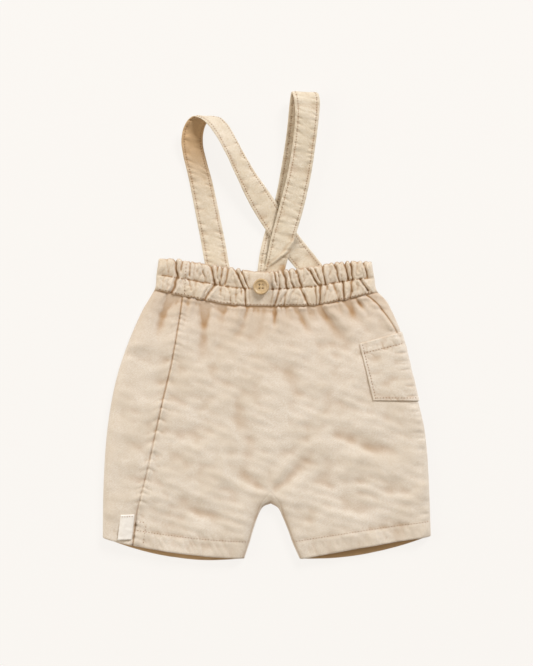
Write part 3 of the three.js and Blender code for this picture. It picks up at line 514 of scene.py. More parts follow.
    def panel_folds(self, x: np.ndarray, y: np.ndarray) -> np.ndarray:
        """Depth of the folds that run down from the gathers, and of the frame's soft creases."""
        s = self.below_waist(x, y)
        drop = np.zeros_like(x)
        for low, deep, run, lean in GATHERS.rows:
            reach = (x - low - lean * s) / (2.4 + 0.11 * s)
            fade = np.clip(1 - s / run, 0, 1) ** 1.3
            grow = 0.5 + 0.4 * smooth(s / 12) * float(smooth(np.array(run / 40)))
            drop += deep * grow * fade * np.exp(-reach * reach)
        for x0, y0, x1, y1, deep, half in CREASES.rows:
            ex, ey = x1 - x0, y1 - y0
            c = np.clip(((x - x0) * ex + (y - y0) * ey) / (ex * ex + ey * ey), 0, 1)
            off = np.hypot(x - x0 - ex * c, y - y0 - ey * c) / half
            drop += deep * (0.35 + 0.65 * np.sin(math.pi * c)) * np.exp(-off * off)
        return drop

    def stack_lift(self, x: np.ndarray, v: np.ndarray) -> np.ndarray:
        """Rise of the band's top edge over the strap layers that go in under it."""
        left = smooth((x - STACK_LEFT + STACK_SOFT) / STACK_SOFT)
        right = smooth((STACK_RIGHT + STACK_SOFT - x) / STACK_SOFT)
        return STACK_LIFT * left * right * smooth(-v / 0.45)

    def below_waist(self, x: np.ndarray, y: np.ndarray) -> np.ndarray:
        """How far below the waist seam each point lies, and 0 above it."""
        return np.maximum(self.waist_y(x) - y, 0)

    def fanned(self, x: np.ndarray, below: np.ndarray) -> np.ndarray:
        """Where the fold at each point starts at the waist, since folds lean outwards as they run down."""
        return x - (x / WAIST_HALF) * below * 0.5

    def waist_y(self, x: np.ndarray) -> np.ndarray:
        """The waist seam's line, with the small waves that gathering gives it."""
        return WAIST_SEAM.at("y", x) + 0.4 * ripples(x, x * 0, 10, 10, 2) * smooth((90 - np.abs(x)) / 10)

    def band_puffs(self, x: np.ndarray, v: np.ndarray) -> np.ndarray:
        """Puffs between the band's gathers, 0 in a crease and 1 on a puff, of their own in each channel."""
        bent = x + 0.8 * ripples(x, BAND_HIGH * v, 16, 16, 6)
        upper = billow(bent + 4.0 * v, BAND_HIGH * v, 9.5, 34, 3)
        lower = billow(bent + 8.0 * v * ripples(x, x * 0, 50, 50, 8), BAND_HIGH * v, 13, 24, 9)
        return np.where(v < -0.5, upper, lower)

    def band_height(self, x: np.ndarray, v: np.ndarray) -> np.ndarray:
        """Height of the band's top face: two bulging channels, gathered except at the flat patch."""
        gathered = smooth((PATCH_LEFT - x) / 3) + smooth((x - PATCH_RIGHT) / 3)
        wavy = v + 0.012 * ripples(x, x * 0, 7, 7, 10) * smooth(-v / 0.1)
        below_top = (v + 1) * BAND_HIGH
        upper = np.sin(math.pi * np.clip(0.14 + 0.86 * (wavy + 1) * 2, 0, 1))
        lower = np.sin(math.pi * np.clip(-wavy * 2, 0, 1))
        wave = np.sqrt(np.maximum(np.where(wavy < -0.5, upper, lower), 0))
        puff = CHANNEL_BULGE * wave * mix(PATCH_BULGE, 1.0, gathered)
        puffs = 0.75 * (self.band_puffs(x, v) - 0.72) * (0.25 + 0.75 * wave)
        pleats = 1.05 * self.band_creases(x, v)
        fine = 0.55 * (billow(x + 9 * v, BAND_HIGH * v, 8.5, 12, 14) - 0.7) * (0.4 + 0.6 * wave)
        fine = fine + 0.3 * ripples(x, BAND_HIGH * v, 11, 9, 18)
        pinch = 0.35 * bell((wavy + 0.5) * BAND_HIGH, 0.8) + 0.8 * bell(wavy * BAND_HIGH, 0.9)
        patch = 0.15 * ripples(x, BAND_HIGH * v, 9, 9, 4)
        body = gathered * (puffs - pleats + fine) + (1 - gathered) * patch
        top = 0.9 * np.exp(-below_top / 0.8)
        height = LOFT.at("z", v) + self.stack_lift(x, v) + puff + body - pinch - top
        return np.maximum(height, BAND_HOLLOW_TOP + self.stack_lift(x, v) + 0.7)

    def body_relief(self, x: np.ndarray, y: np.ndarray) -> np.ndarray:
        """Fine height of the panels: listed creases, the fans under the gathers, and soft crumple."""
        below = self.below_waist(x, y)
        height = np.zeros_like(x)
        uneven = 0.95 + 0.25 * ripples(x, y, 26, 26, 13)
        for crease in BODY_CREASES:
            height += crease.height(x, y) * uneven
        spread_x = self.fanned(x, below) + 0.5 * ripples(x, y, 18, 14, 15)
        fan = billow(spread_x, y * 0.25, 9.0, 46, 7) - 0.72
        wide_fan = ripples(spread_x, y * 0.25, 24, 60, 8)
        height += 1.4 * fan * np.exp(-below / 7.0) + 1.25 * wide_fan * np.exp(-below / 24)
        height += 0.6 * bell(below - 2.3, 1.3) - 1.9 * np.exp(-below / 0.9)
        height += 0.8 * ripples(x, y, 40, 31, 11) + 0.3 * ripples(x + 0.5 * y, y, 15, 10, 12)
        return height * (1 - 0.6 * self.under_pocket(x, y))

    def under_pocket(self, x: np.ndarray, y: np.ndarray) -> np.ndarray:
        """1 under the pocket, 0 away from it, with a soft edge of 3 mm."""
        inside = np.minimum(x - (78.8 + (-15.1 - y) * 0.247), np.minimum(-6 - y, y + 63))
        return smooth((inside + 1.5) / 3)

    def right_seam_x(self, v: np.ndarray) -> np.ndarray:
        """Where the right side seam lies across the garment at each level."""
        return SIDE_LINE[Side.RIGHT].at("x", v) - RIGHT_SEAM_INSET.at("inset", v)

    def seam_relief(self, x: np.ndarray, y: np.ndarray, v: np.ndarray) -> np.ndarray:
        """Puckers along the left front seam and the right side seam: cross ripples that fade away from it."""
        off_left = (x - LEFT_SEAM.at("x", v)) * 0.95
        off_right = (x - self.right_seam_x(v)) * 0.85
        slant = y + 0.4 * np.abs(off_left)
        puckers_left = bell(off_left, 5.5) * (billow(x * 0.3, slant, 60, 10.5, 21) - 0.7)
        puckers_right = bell(off_right, 5.0) * (billow(x * 0.3, y, 60, 11.5, 22) - 0.7)
        ditch_left = bell(off_left, 0.6) - 0.5 * bell(off_left - 1.7, 0.9)
        ditch_right = bell(off_right, 0.9) - 0.9 * bell(off_right + 2.6, 1.8)
        ditch_right = ditch_right * smooth((0.25 - v) / 0.05)
        return 1.55 * puckers_left + 1.4 * puckers_right - 0.9 * ditch_left - 0.9 * ditch_right

    def hem_relief(self, v: np.ndarray, along: np.ndarray) -> np.ndarray:
        """Hem: a turned-up edge 0.4 mm higher, a ditch at its stitch row and small twisting puckers."""
        off = (v - HEM_ROW) * LEVEL_MM
        turned = 0.38 * smooth((off + 0.6) / 1.6)
        ditch = 0.34 * bell(off, 1.1)
        twist = billow(along - 0.6 * off, off, 9.5, 30, 31) - 0.7
        near = smooth((off + 6) / 6) * (0.5 + 0.5 * smooth((12 - off) / 4))
        return turned - ditch + 0.46 * twist * near

    def top_height(self, x: np.ndarray, y: np.ndarray, v: np.ndarray) -> np.ndarray:
        """Height of the top face before its fall to the side fold."""
        lilt = 0.35 * np.sin(x / 23 + y / 41) * np.sin(y / 29 - x / 57) * smooth(v / 0.2)
        fine = self.body_relief(x, y) + self.seam_relief(x, y, v) + self.hem_relief(v, x)
        body = LOFT.at("z", v) + lilt - 0.9 * self.panel_folds(x, y) + fine
        return np.where(v <= 0, self.band_height(x, np.minimum(v, 0)), np.maximum(body, 5.2))

    def sheet(
        self, xy: np.ndarray, v: np.ndarray, face: Face, on_outline: np.ndarray | bool = False
    ) -> Arrays:
        """Points of the outer sheet.

        Near the outline the section is a quarter of an ellipse above the fold, and another below it.

        Args:
            xy: points in plan.
            v: level of each point.
            face: upper or under face.
            on_outline: true where a point is on the outline itself.

        Returns:
            at, the points; out, the way out of the cloth; ceiling, the height of the band's hollow there;
            top, true on the upper face; painted_shade, its painted shade; and dent, the underside's rise off
            the ground.
        """
        v = np.broadcast_to(v, xy.shape[:-1])
        x, y = xy[..., 0], xy[..., 1]
        distance, out = self.from_outline(xy)
        inward = np.where(on_outline, 0.0, distance)
        front = face is Face.FRONT
        reach = mix(SIDE_REACH_BAND, SIDE_REACH_BODY, smooth(v / 0.15)) if front else SIDE_REACH_UNDER
        sine = 1 - np.clip(inward / reach, 0, 1)
        cosine = np.sqrt(np.maximum(0, 1 - sine * sine))
        height = self.top_height(x, y, v) - SIDE_RISE if front else np.full(v.shape, -SIDE_RISE)
        tilt = unit(np.stack([sine / reach, cosine / height], axis=-1))
        dent = np.zeros(v.shape) if front else self.under_relief(x, y, v) * cosine
        z = SIDE_RISE + height * cosine + dent
        at = np.concatenate([xy, z[..., None]], axis=-1)
        way = np.concatenate([out * tilt[..., :1], tilt[..., 1:]], axis=-1)
        ceiling = SIDE_RISE + (BAND_HOLLOW_TOP + self.stack_lift(x, v) - SIDE_RISE) * cosine
        # Painted shade in the seam ditches, along the stitch rows, below the gathers and over the band
        painted_shade = self.seam_shade(x, y, v) if front else np.zeros(v.shape)
        return {
            "at": at, "out": way, "ceiling": ceiling, "top": np.full(v.shape, front), "painted_shade": painted_shade,
            "dent": dent,
        }

    def under_relief(self, x: np.ndarray, y: np.ndarray, v: np.ndarray) -> np.ndarray:
        """How far the underside stands off the surface it lies on: creases and ditches, 0 on the puffs."""
        below = self.below_waist(x, y)
        band = 1.3 * (1.02 - self.band_puffs(x * 1.15 + 40, v)) + 0.3 * bell((v + 0.5) * BAND_HIGH, 0.9)
        spread_x = self.fanned(x, below)
        fan = (1.02 - billow(spread_x, y * 0.25, 10, 60, 67)) * np.exp(-below / 16)
        soft = 0.35 + 0.45 * ripples(x, y, 40, 34, 71) + 0.12 * ripples(x, y, 15, 12, 73)
        hem = 0.5 * bell((v - HEM_ROW) * LEVEL_MM, 1.1)
        body = 1.3 * np.maximum(soft, 0) + 1.9 * fan + hem + 0.9 * np.exp(-below / 1.0)
        return np.clip(np.where(v <= 0, band, body), 0, np.where(v > 0, 2.0, 1.0))

    def seam_shade(self, x: np.ndarray, y: np.ndarray, v: np.ndarray) -> np.ndarray:
        """How much the cloth is shaded in the ditches of its seams and stitch rows, from 0 to 1.

        Painted shade: a bell of 0.6 to 0.8 mm round each row or seam, a soft shade below the gathers, and an
        even shade over the band.
        """
        off_seam = x - LEFT_SEAM.at("x", v)
        off_right = x - self.right_seam_x(v)
        off_hem = (v - HEM_ROW) * LEVEL_MM
        below = self.waist_y(x) - y
        seam = 0.16 + 0.6 * smooth((0.72 - v) / 0.3) + 0.75 * smooth((v - 0.905) / 0.01)
        body = seam * bell(off_seam, 0.62) + 0.06 * bell(off_hem, 0.8)
        body = body + 0.7 * bell(off_right, 0.7) * smooth((0.25 - v) / 0.05)
        body = body + 0.3 * bell(below, 0.6) + 0.4 * np.exp(-np.maximum(below, 0) / 32)
        band = 0.12 + 0.05 * bell((v + 0.5) * BAND_HIGH, 0.7) + 0.4 * bell(v * BAND_HIGH, 0.7)
        return np.clip(np.where(v <= 0, band, body), 0, 1)

    def band_point(self, x: np.ndarray, v: np.ndarray) -> np.ndarray:
        """Plan point of the band at a place across and a level, with the top edge scalloped."""
        y = mix(BAND_TOP.at("y", x), self.waist_y(x), v + 1)
        notch = 0.75 * np.clip(self.band_creases(x, np.minimum(v, -0.97)), -0.4, 2.0)
        notch = notch + 0.5 * (0.9 - self.band_puffs(x, np.minimum(v, -0.9)))
        notch = notch * smooth((-0.75 - v) / 0.25) * smooth((92 - np.abs(x)) / 6)
        return np.stack(np.broadcast_arrays(x, y - notch), axis=-1)


def joined(*sheets: Arrays) -> Arrays:
    """Sheets of the same rows, side by side."""
    return {key: np.concatenate([s[key] for s in sheets], axis=1) for key in sheets[0]}


def closed_wall(strips: list[Strip], bulge: float = 0.4, rim_shade: float = 0.08) -> Arrays:
    """A closed wall from strips of a grid: outer sheet, inner sheet and a rounded rim along every open edge.

    Points of two strips at the same place are made one. A rim runs from the outer edge over a middle line,
    which lies the given share of the wall's thickness outside the edge, to the inner edge.

    Args:
        strips: for each strip its outer points, its inner points, its cloth coordinates in metres, its
            painted shade from 0 to 1, and whether its faces are turned over.
        bulge: how far the rim's middle stands out, as a share of the thickness.
        rim_shade: how far the rim's middle has the inner sheet's colour, from 0 to 1, a painted shade line
            along every edge.

    Returns:
        points in millimetres, triangles, cloth coordinates, inner, 1 on the inner sheet and 0 outside, and
        painted_shade, the painted shade.
    """
    outer = np.concatenate([s[0].reshape(-1, 3) for s in strips])
    inner = np.concatenate([s[1].reshape(-1, 3) for s in strips])
    cloth = np.concatenate([s[2].reshape(-1, 2) for s in strips])
    painted_shade = np.concatenate([s[3].reshape(-1) for s in strips])
    faces = []
    first = 0
    for at, _, _, _, flip in strips:
        rows, columns = at.shape[:2]
        ids = np.arange(first, first + rows * columns).reshape(rows, columns)
        quads = np.stack([ids[:-1, :-1], ids[1:, :-1], ids[1:, 1:], ids[:-1, 1:]], axis=-1).reshape(-1, 4)
        tris = np.concatenate([quads[:, [0, 1, 2]], quads[:, [0, 2, 3]]])
        faces.append(tris[:, ::-1] if flip else tris)
        first += rows * columns
    _, kept, merged = np.unique(np.round(outer, 4), axis=0, return_index=True, return_inverse=True)
    order = np.argsort(kept)
    place = np.empty_like(order)
    place[order] = np.arange(len(order))
    kept = kept[order]
    tris = place[merged.reshape(-1)][np.concatenate(faces)]
    proper = (tris[:, 0] != tris[:, 1]) & (tris[:, 1] != tris[:, 2]) & (tris[:, 2] != tris[:, 0])
    tris = tris[proper]
    outer, inner, cloth, painted_shade = outer[kept], inner[kept], cloth[kept], painted_shade[kept]
    count = len(outer)
    edges = np.concatenate([tris[:, [0, 1]], tris[:, [1, 2]], tris[:, [2, 0]]])
    keys = edges[:, 0] * count + edges[:, 1]
    back = edges[:, 1] * count + edges[:, 0]
    a, b = edges[~np.isin(keys, back)].T
    way = np.zeros((count, 3))
    run = unit(outer[b] - outer[a])
    np.add.at(way, a, np.cross(run, unit(outer[a] - inner[a])))
    np.add.at(way, b, np.cross(run, unit(outer[b] - inner[b])))
    rim = np.unique(np.concatenate([a, b]))
    on_rim = np.full(count, -1)
    on_rim[rim] = 2 * count + np.arange(len(rim))
    thick = np.linalg.norm(outer[rim] - inner[rim], axis=-1, keepdims=True)
    middle = (outer[rim] + inner[rim]) / 2 + unit(way[rim]) * bulge * thick
    ma, mb = on_rim[a], on_rim[b]
    rims = np.concatenate([
        np.stack([b, a, ma], axis=-1), np.stack([b, ma, mb], axis=-1),
        np.stack([mb, ma, a + count], axis=-1), np.stack([mb, a + count, b + count], axis=-1),
    ])
    points = np.concatenate([outer, inner, middle])
    points[:, 2] = np.maximum(points[:, 2], GROUND)
    return {
        "points": points,
        "faces": np.concatenate([tris, tris[:, ::-1] + count, rims]),
        "cloth": np.concatenate([cloth, cloth, cloth[rim]]),
        "inner": np.concatenate([np.zeros(count), np.ones(count), np.full(len(rim), rim_shade)]),
        "painted_shade": np.concatenate([painted_shade, np.zeros(count), painted_shade[rim]]),
    }


def make_piece(name: str, wall: Arrays, material: bpy.types.Material) -> bpy.types.Object:
    """Put worked-out points and triangles into a mesh object at the origin.

    Args:
        name: the object's name.
        wall: points in millimetres and faces, and where it has them cloth, inner and fold for each point.
        material: its finish.

    Returns:
        The new object, linked to the scene.
    """
    mesh = bpy.data.meshes.new(name)
    points, faces = wall["points"], wall["faces"]
    mesh.vertices.add(len(points))
    mesh.vertices.foreach_set("co", (points * MM).astype(np.float32).ravel())
    mesh.loops.add(faces.size)
    mesh.loops.foreach_set("vertex_index", faces.astype(np.int32).ravel())
    mesh.polygons.add(len(faces))
    mesh.polygons.foreach_set("loop_start", np.arange(len(faces), dtype=np.int32) * faces.shape[1])
    mesh.polygons.foreach_set("use_smooth", np.ones(len(faces), dtype=bool))
    mesh.update(calc_edges=True)
    if "cloth" in wall:
        layer = mesh.uv_layers.new(name="cloth")
        layer.data.foreach_set("uv", wall["cloth"][faces.ravel()].astype(np.float32).ravel())
    for key in ("inner", "fold"):
        if key in wall:
            column = mesh.attributes.new(key, "FLOAT", "POINT")
            column.data.foreach_set("value", wall[key].astype(np.float32))
    mesh.validate()
    mesh.materials.append(material)
    piece = bpy.data.objects.new(name, mesh)
    bpy.context.scene.collection.objects.link(piece)
    return piece


def linear(hex_colour: str) -> tuple[float, float, float, float]:
    """Turn an sRGB hex colour to the linear colour that a shader takes."""
    parts = [int(hex_colour[i : i + 2], 16) / 255 for i in (1, 3, 5)]
    red, green, blue = (c / 12.92 if c <= 0.04045 else ((c + 0.055) / 1.055) ** 2.4 for c in parts)
    return red, green, blue, 1.0


def add_node(tree: bpy.types.NodeTree, kind: str, **inputs: object) -> bpy.types.Node:
    """Add a node, set its own fields and its sockets, and link what is a socket.

    Args:
        tree: the material's node tree.
        kind: the node's type, such as ShaderNodeMix.
        inputs: fields of the node by name, and sockets as in_NAME or in_NUMBER, each with a value or with
            the output socket that feeds it.

    Returns:
        The new node.
    """
    node = tree.nodes.new(kind)
    for key, value in inputs.items():
        if not key.startswith("in_"):
            setattr(node, key, value)
    feed(tree, node, **{key[3:]: value for key, value in inputs.items() if key.startswith("in_")})
    return node


def feed(tree: bpy.types.NodeTree, node: bpy.types.Node, **sockets: object) -> None:
    """Give sockets a value or the output that feeds them.

    Args:
        tree: the material's node tree.
        node: the node whose sockets they are.
        sockets: value or output socket by the socket's number, or by its name with _ for each space.
    """
    for key, value in sockets.items():
        socket = node.inputs[int(key)] if key.isdigit() else node.inputs[key.replace("_", " ")]
        if isinstance(value, bpy.types.NodeSocket):
            tree.links.new(value, socket)
        else:
            socket.default_value = value


def new_material(name: str) -> tuple[bpy.types.Material, bpy.types.NodeTree, bpy.types.Node]:
    """Start a node material and return it with its tree and its Principled shader."""
    material = bpy.data.materials.new(name)
    material.use_nodes = True
    tree = material.node_tree
    return material, tree, tree.nodes["Principled BSDF"]


def shade_mix(tree: bpy.types.NodeTree, share: object, a: object, b: object, how: str = "MIX") -> object:
    """Mix two colours by a share, and return the colour that comes out."""
    node = add_node(tree, "ShaderNodeMix", data_type="RGBA", blend_type=how, in_0=share, in_6=a, in_7=b)
    return node.outputs[2]


def ramp(tree: bpy.types.NodeTree, value: object, low: float, high: float, to: float = 1.0) -> object:
    """Map a value from low..high to 0..to, kept within it, and return the result."""
    node = add_node(tree, "ShaderNodeMapRange", in_0=value, in_1=low, in_2=high, in_3=0.0, in_4=to)
    return node.outputs[0]


def noise(tree: bpy.types.NodeTree, where: object, size_mm: float, detail: float, **more: object) -> object:
    """Noise with features of about the given size, and return its grey value."""
    node = add_node(
        tree, "ShaderNodeTexNoise", in_Vector=where, in_Scale=1 / (size_mm * MM), in_Detail=detail, **more,
    )
    return node.outputs["Fac"]


def waves(tree: bpy.types.NodeTree, where: object, apart_mm: float, **more: object) -> object:
    """Parallel waves the given distance apart, and return their grey value.

    The wave node's scale is 0.314 over the distance, since it draws 20 / 2π waves to a unit.
    """
    node = add_node(tree, "ShaderNodeTexWave", in_Vector=where, in_Scale=0.314 / (apart_mm * MM), **more)
    return node.outputs["Fac"]


def raised(tree: bpy.types.NodeTree, height: object, strength: float, mm: float, **more: object) -> object:
    """Bump the surface by a grey value, up to a height in millimetres, and return the normal."""
    node = add_node(
        tree, "ShaderNodeBump", in_Height=height, in_Strength=strength, in_Distance=mm * MM, **more,
    )
    return node.outputs[0]


@dataclass(frozen=True)
class TwillFinish:
    """Washed cotton twill, piece-dyed cream: soft diagonal ribs, a slight nap and uneven washed colour."""

    name: str
    face: str = "#e3dcd2"
    washed: str = "#ebe6df"
    deep: str = "#d3c6b4"
    # Painted shade of creases and hollows, mixed in by the fold attribute
    painted_crease_shade: str = "#a47b49"
    # Painted shade of the inside: the colour that the inner sheet and the rims take
    inside: str = "#cbac85"
    rib_mm: float = 1.6
    rib_degrees: float = 52.0
    rib_strength: float = 0.3
    rib_tint: float = 0.2

    def build(self) -> bpy.types.Material:
        """Make the material.

        Real twill ribs are 0.5 mm apart, too fine for the picture, so they are drawn at 1.6 mm. The nap is
        noise of 1.1 mm, the small crumple of washing noise of 6.5 mm, and the mottled colour noise of 26 mm.

        Returns:
            The node material, which reads the cloth map, and paints shade from the inner and fold attributes.
        """
        material, tree, shader = new_material(self.name)
        cloth = add_node(tree, "ShaderNodeUVMap", uv_map="cloth").outputs[0]
        place = add_node(tree, "ShaderNodeTexCoord").outputs["Object"]
        turned = add_node(
            tree, "ShaderNodeMapping", in_Vector=cloth, in_Rotation=(0, 0, math.radians(self.rib_degrees)),
        ).outputs[0]
        ribs = waves(tree, turned, self.rib_mm, in_Distortion=2.2, in_Detail=2.0, in_Detail_Scale=0.6)
        nap = noise(tree, place, 1.1, 4.0, in_Roughness=0.65)
        crumple = noise(tree, place, 6.5, 3.0, in_Distortion=0.4)
        blotch = noise(tree, place, 26, 5.0, in_Roughness=0.62)
        inner = add_node(tree, "ShaderNodeAttribute", attribute_name="inner").outputs["Fac"]
        fold = add_node(tree, "ShaderNodeAttribute", attribute_name="fold").outputs["Fac"]
        colour = shade_mix(tree, ramp(tree, blotch, 0.42, 0.68), linear(self.face), linear(self.washed))
        colour = shade_mix(tree, ramp(tree, blotch, 0.5, 0.3, 0.25), colour, linear(self.deep))
        colour = shade_mix(tree, ramp(tree, nap, 0.36, 0.64, 0.7), colour, linear(self.deep))
        colour = shade_mix(tree, ramp(tree, ribs, 0.2, 0.9, self.rib_tint), colour, linear(self.deep))
        # Painted shade: the crease colour by the fold attribute, then the inside colour by the inner
        # attribute
        colour = shade_mix(tree, ramp(tree, fold, 0.0, 1.0, 0.85), colour, linear(self.painted_crease_shade))
        colour = shade_mix(tree, ramp(tree, inner, 0.2, 1.0), colour, linear(self.inside))
        bump = raised(tree, crumple, 0.55, 0.7)
        bump = raised(tree, nap, 0.4, 0.25, in_Normal=bump)
        bump = raised(tree, ribs, self.rib_strength, 0.2, in_Normal=bump)
        feed(tree, shader, Base_Color=colour, Normal=bump, Roughness=0.93, IOR=1.47)
        feed(tree, shader, Specular_IOR_Level=0.3, Sheen_Weight=0.5, Sheen_Roughness=0.45)
        return material


@dataclass(frozen=True)
class TapeFinish:
    """Woven cotton tape, bleached off-white: fine cross ribs and no print."""

    name: str = "woven_cotton_tape"
    face: str = "#f5f4f2"
    shade: str = "#dbd7d0"

    def build(self) -> bpy.types.Material:
        """Make the material: ribs 1.1 mm apart across the tape, and a little noise of 4 mm in the colour."""
        material, tree, shader = new_material(self.name)
        cloth = add_node(tree, "ShaderNodeUVMap", uv_map="cloth").outputs[0]
        ribs = waves(tree, cloth, 1.1, bands_direction="Y", in_Distortion=0.8)
        tone = noise(tree, cloth, 4, 4.0)
        colour = shade_mix(tree, ramp(tree, tone, 0.4, 0.7, 0.35), linear(self.face), linear(self.shade))
        colour = shade_mix(tree, ramp(tree, ribs, 0.3, 0.9, 0.2), colour, linear(self.shade))
        bump = raised(tree, ribs, 0.4, 0.15)
        feed(tree, shader, Base_Color=colour, Normal=bump, Roughness=0.88, Specular_IOR_Level=0.3)
        return material


@dataclass(frozen=True)
class ThreadFinish:
    """Spun polyester sewing thread, matched to the cloth: a twisted strand with a soft shine."""

    name: str = "sewing_thread"
    # Painted shade: these dark browns stand for the shade in the needle holes round each stitch
    lit: str = "#a27140"
    dark: str = "#7c5229"

    def build(self) -> bpy.types.Material:
        """Make the material: the strand's twist is noise of 1 mm that paints it from lit to dark, a painted
        shade.
        """
        material, tree, shader = new_material(self.name)
        place = add_node(tree, "ShaderNodeTexCoord").outputs["Object"]
        twist = noise(tree, place, 1.0, 2.0)
        colour = shade_mix(tree, ramp(tree, twist, 0.35, 0.65), linear(self.lit), linear(self.dark))
        feed(tree, shader, Base_Color=colour, Roughness=0.6, Sheen_Weight=0.2)
        return material


@dataclass(frozen=True)
class ButtonFinish:
    """Corozo-look polyester, turned and tumbled: satin, with faint grain and darker holes."""

    name: str = "corozo_look_polyester"
    face: str = "#cdb690"
    grain: str = "#ab8b5e"

    def build(self) -> bpy.types.Material:
        """Make the material: grain is noise stretched 6 times, of 2.5 mm, and tumbling gives a soft gloss."""
        material, tree, shader = new_material(self.name)
        place = add_node(tree, "ShaderNodeTexCoord").outputs["Object"]
        drawn = add_node(
            tree, "ShaderNodeMapping", in_Vector=place, in_Scale=(1, 6, 1), in_Rotation=(0, 0, 0.5),
        ).outputs[0]
        grain = noise(tree, drawn, 2.5, 5.0, in_Distortion=0.6)
        colour = shade_mix(tree, ramp(tree, grain, 0.35, 0.72, 0.7), linear(self.face), linear(self.grain))
        rough = ramp(tree, grain, 0.2, 1.0, 0.35)
        lifted = add_node(tree, "ShaderNodeMath", operation="ADD", in_0=rough, in_1=0.3).outputs[0]
        feed(tree, shader, Base_Color=colour, Roughness=lifted, IOR=1.54)
        return material


def tube_faces(ids: np.ndarray) -> np.ndarray:
    """Triangles of the wall between closed rings of points, whose numbers are given a ring to a row."""
    nxt = np.roll(ids, -1, axis=1)
    return np.concatenate([
        np.stack([ids[:-1], nxt[:-1], nxt[1:]], axis=-1).reshape(-1, 3),
        np.stack([ids[:-1], nxt[1:], ids[1:]], axis=-1).reshape(-1, 3),
    ])


def stitches(paths: list[Path], pitch: float = 2.4, share: float = 0.4,
             radius: float = 0.27) -> Arrays:
    """Rows of stitches along paths that lie on the cloth.

    Each stitch is a thread bead of five rings of six points: its radius swells from its ends to its middle
    as the root of 1 - s³, with s from 0 in the middle to 1 at the ends, and its middle stands about a
    radius above its ends, which dip into the cloth.

    Args:
        paths: for each row its points in millimetres and the way out of the cloth at each.
        pitch: distance from one stitch to the next.
        share: the part of the pitch that shows as thread.
        radius: half the thread's thickness.

    Returns:
        Points and triangles of all the beads.
    """
    centres, runs, ways = [], [], []
    for points, out in paths:
        length = np.concatenate([[0], np.cumsum(np.linalg.norm(np.diff(points, axis=0), axis=-1))])
        count = max(1, int(length[-1] / pitch))
        places = (np.arange(count) + 0.5) * length[-1] / count
        half = pitch * share / 2

        def sample(values: np.ndarray, at: np.ndarray, length: np.ndarray = length) -> np.ndarray:
            """Read each column of values at lengths along the path."""
            return np.stack([np.interp(at, length, column) for column in values.T], axis=-1)

        head, tail = sample(points, places + half), sample(points, places - half)
        centres.append((head + tail) / 2)
        runs.append((head - tail) / 2)
        ways.append(unit(sample(out, places)))
    centre, run, way = (np.concatenate(parts) for parts in (centres, runs, ways))
    across = unit(np.cross(run, way))
    way = unit(np.cross(across, run))
    stations = np.array([-1.0, -0.62, 0.0, 0.62, 1.0])
    swell = radius * np.sqrt(np.maximum(1 - np.abs(stations) ** 3, 0.12))
    rise = radius * (0.75 - 0.95 * stations**2)
    turn = np.arange(6) * math.pi / 3
    spine = centre[:, None] + run[:, None] * stations[:, None] + way[:, None] * rise[:, None]
    ring = across[:, None, None] * np.cos(turn)[:, None] + way[:, None, None] * np.sin(turn)[:, None]
    points = spine[:, :, None] + ring * swell[:, None, None]
    points[..., 2] = np.maximum(points[..., 2], GROUND)
    sides = tube_faces(np.arange(30).reshape(5, 6))
    fan = np.array([[0, k + 1, k] for k in range(1, 5)])
    caps = np.concatenate([fan, fan[:, ::-1] + 24])
    bead = np.concatenate([sides, caps])
    faces = (bead[None] + 30 * np.arange(len(centre))[:, None, None]).reshape(-1, 3)
    return {"points": points.reshape(-1, 3), "faces": faces}


# Shares of a fold's reach, closer together towards the outline
ARC = (1 - np.linspace(0, 1, 9)) ** 2
START_ARC = ARC[::-1]
FORM = Shorts()


def panel_rows() -> np.ndarray:
    """Levels of the panels' rows: 1.1 mm apart, closer at the waist seam, and one at the fork."""
    top = np.linspace(0, 1, 44) ** 1.15 * 0.18
    trunk = np.linspace(0.18, CROTCH, 112)[1:]
    legs = CROTCH + (1 - CROTCH) * np.linspace(0, 1, 46)[1:] ** 1.25
    return np.concatenate([top, trunk, legs])


def half_columns(
    start: np.ndarray, arc_in: np.ndarray, reach: np.ndarray, plain: int, v: np.ndarray
) -> np.ndarray:
    """Places of a half row's columns, even above the fork and closer together at the inner leg below it.

    Args:
        start: where each row starts, as a share of it.
        arc_in: shares of the reach at which the first columns lie.
        reach: the side fold's reach as a share of each row.
        plain: columns between the folds.
        v: level of each row.

    Returns:
        One row of places from 0 to 1 for each level.
    """
    first = start[:, None] + reach[:, None] * arc_in[None]
    arc = 1 - reach[:, None] * ARC[None]
    even = np.linspace(0, 1, plain + 1)[None, 1:]
    far = np.linspace(0, 1, plain + len(ARC))[None, 1:]
    leg = np.concatenate([first, mix(first[:, -1:], arc[:, :1], even), arc[:, 1:]], axis=1)
    trunk = np.concatenate([first, mix(first[:, -1:], 1.0, far)], axis=1)
    return mix(trunk, leg, smooth((v - CROTCH + 0.14) / 0.14)[:, None])


def row_length(side: Side, v: np.ndarray, face: Face) -> np.ndarray:
    """Length of each row from the outline to its inner end."""
    return np.linalg.norm(FORM.side_point(side, v) - FORM.inner_point(side, v, face), axis=-1)


def seam_start(side: Side, v: np.ndarray) -> np.ndarray:
    """How far in from the outline the side seam lies on the top face."""
    if side is Side.LEFT:
        return LEFT_SEAM.at("x", v) - FORM.side_point(side, v)[..., 0]
    return RIGHT_SEAM_INSET.at("inset", v)


def panel_sheet(side: Side, v: np.ndarray, u: np.ndarray, face: Face) -> Arrays:
    """Sheet points of a panel's rows and columns."""
    level = np.broadcast_to(v[:, None], u.shape)
    xy = FORM.row_point(side, level, u, face)
    xy[..., 1] -= SEAM_GAP * (level == 0)
    on_outline = (u == 0) | ((u == 1) & (level >= CROTCH) & (face is Face.BACK))
    return FORM.sheet(xy, np.maximum(level, 1e-6), face, on_outline)


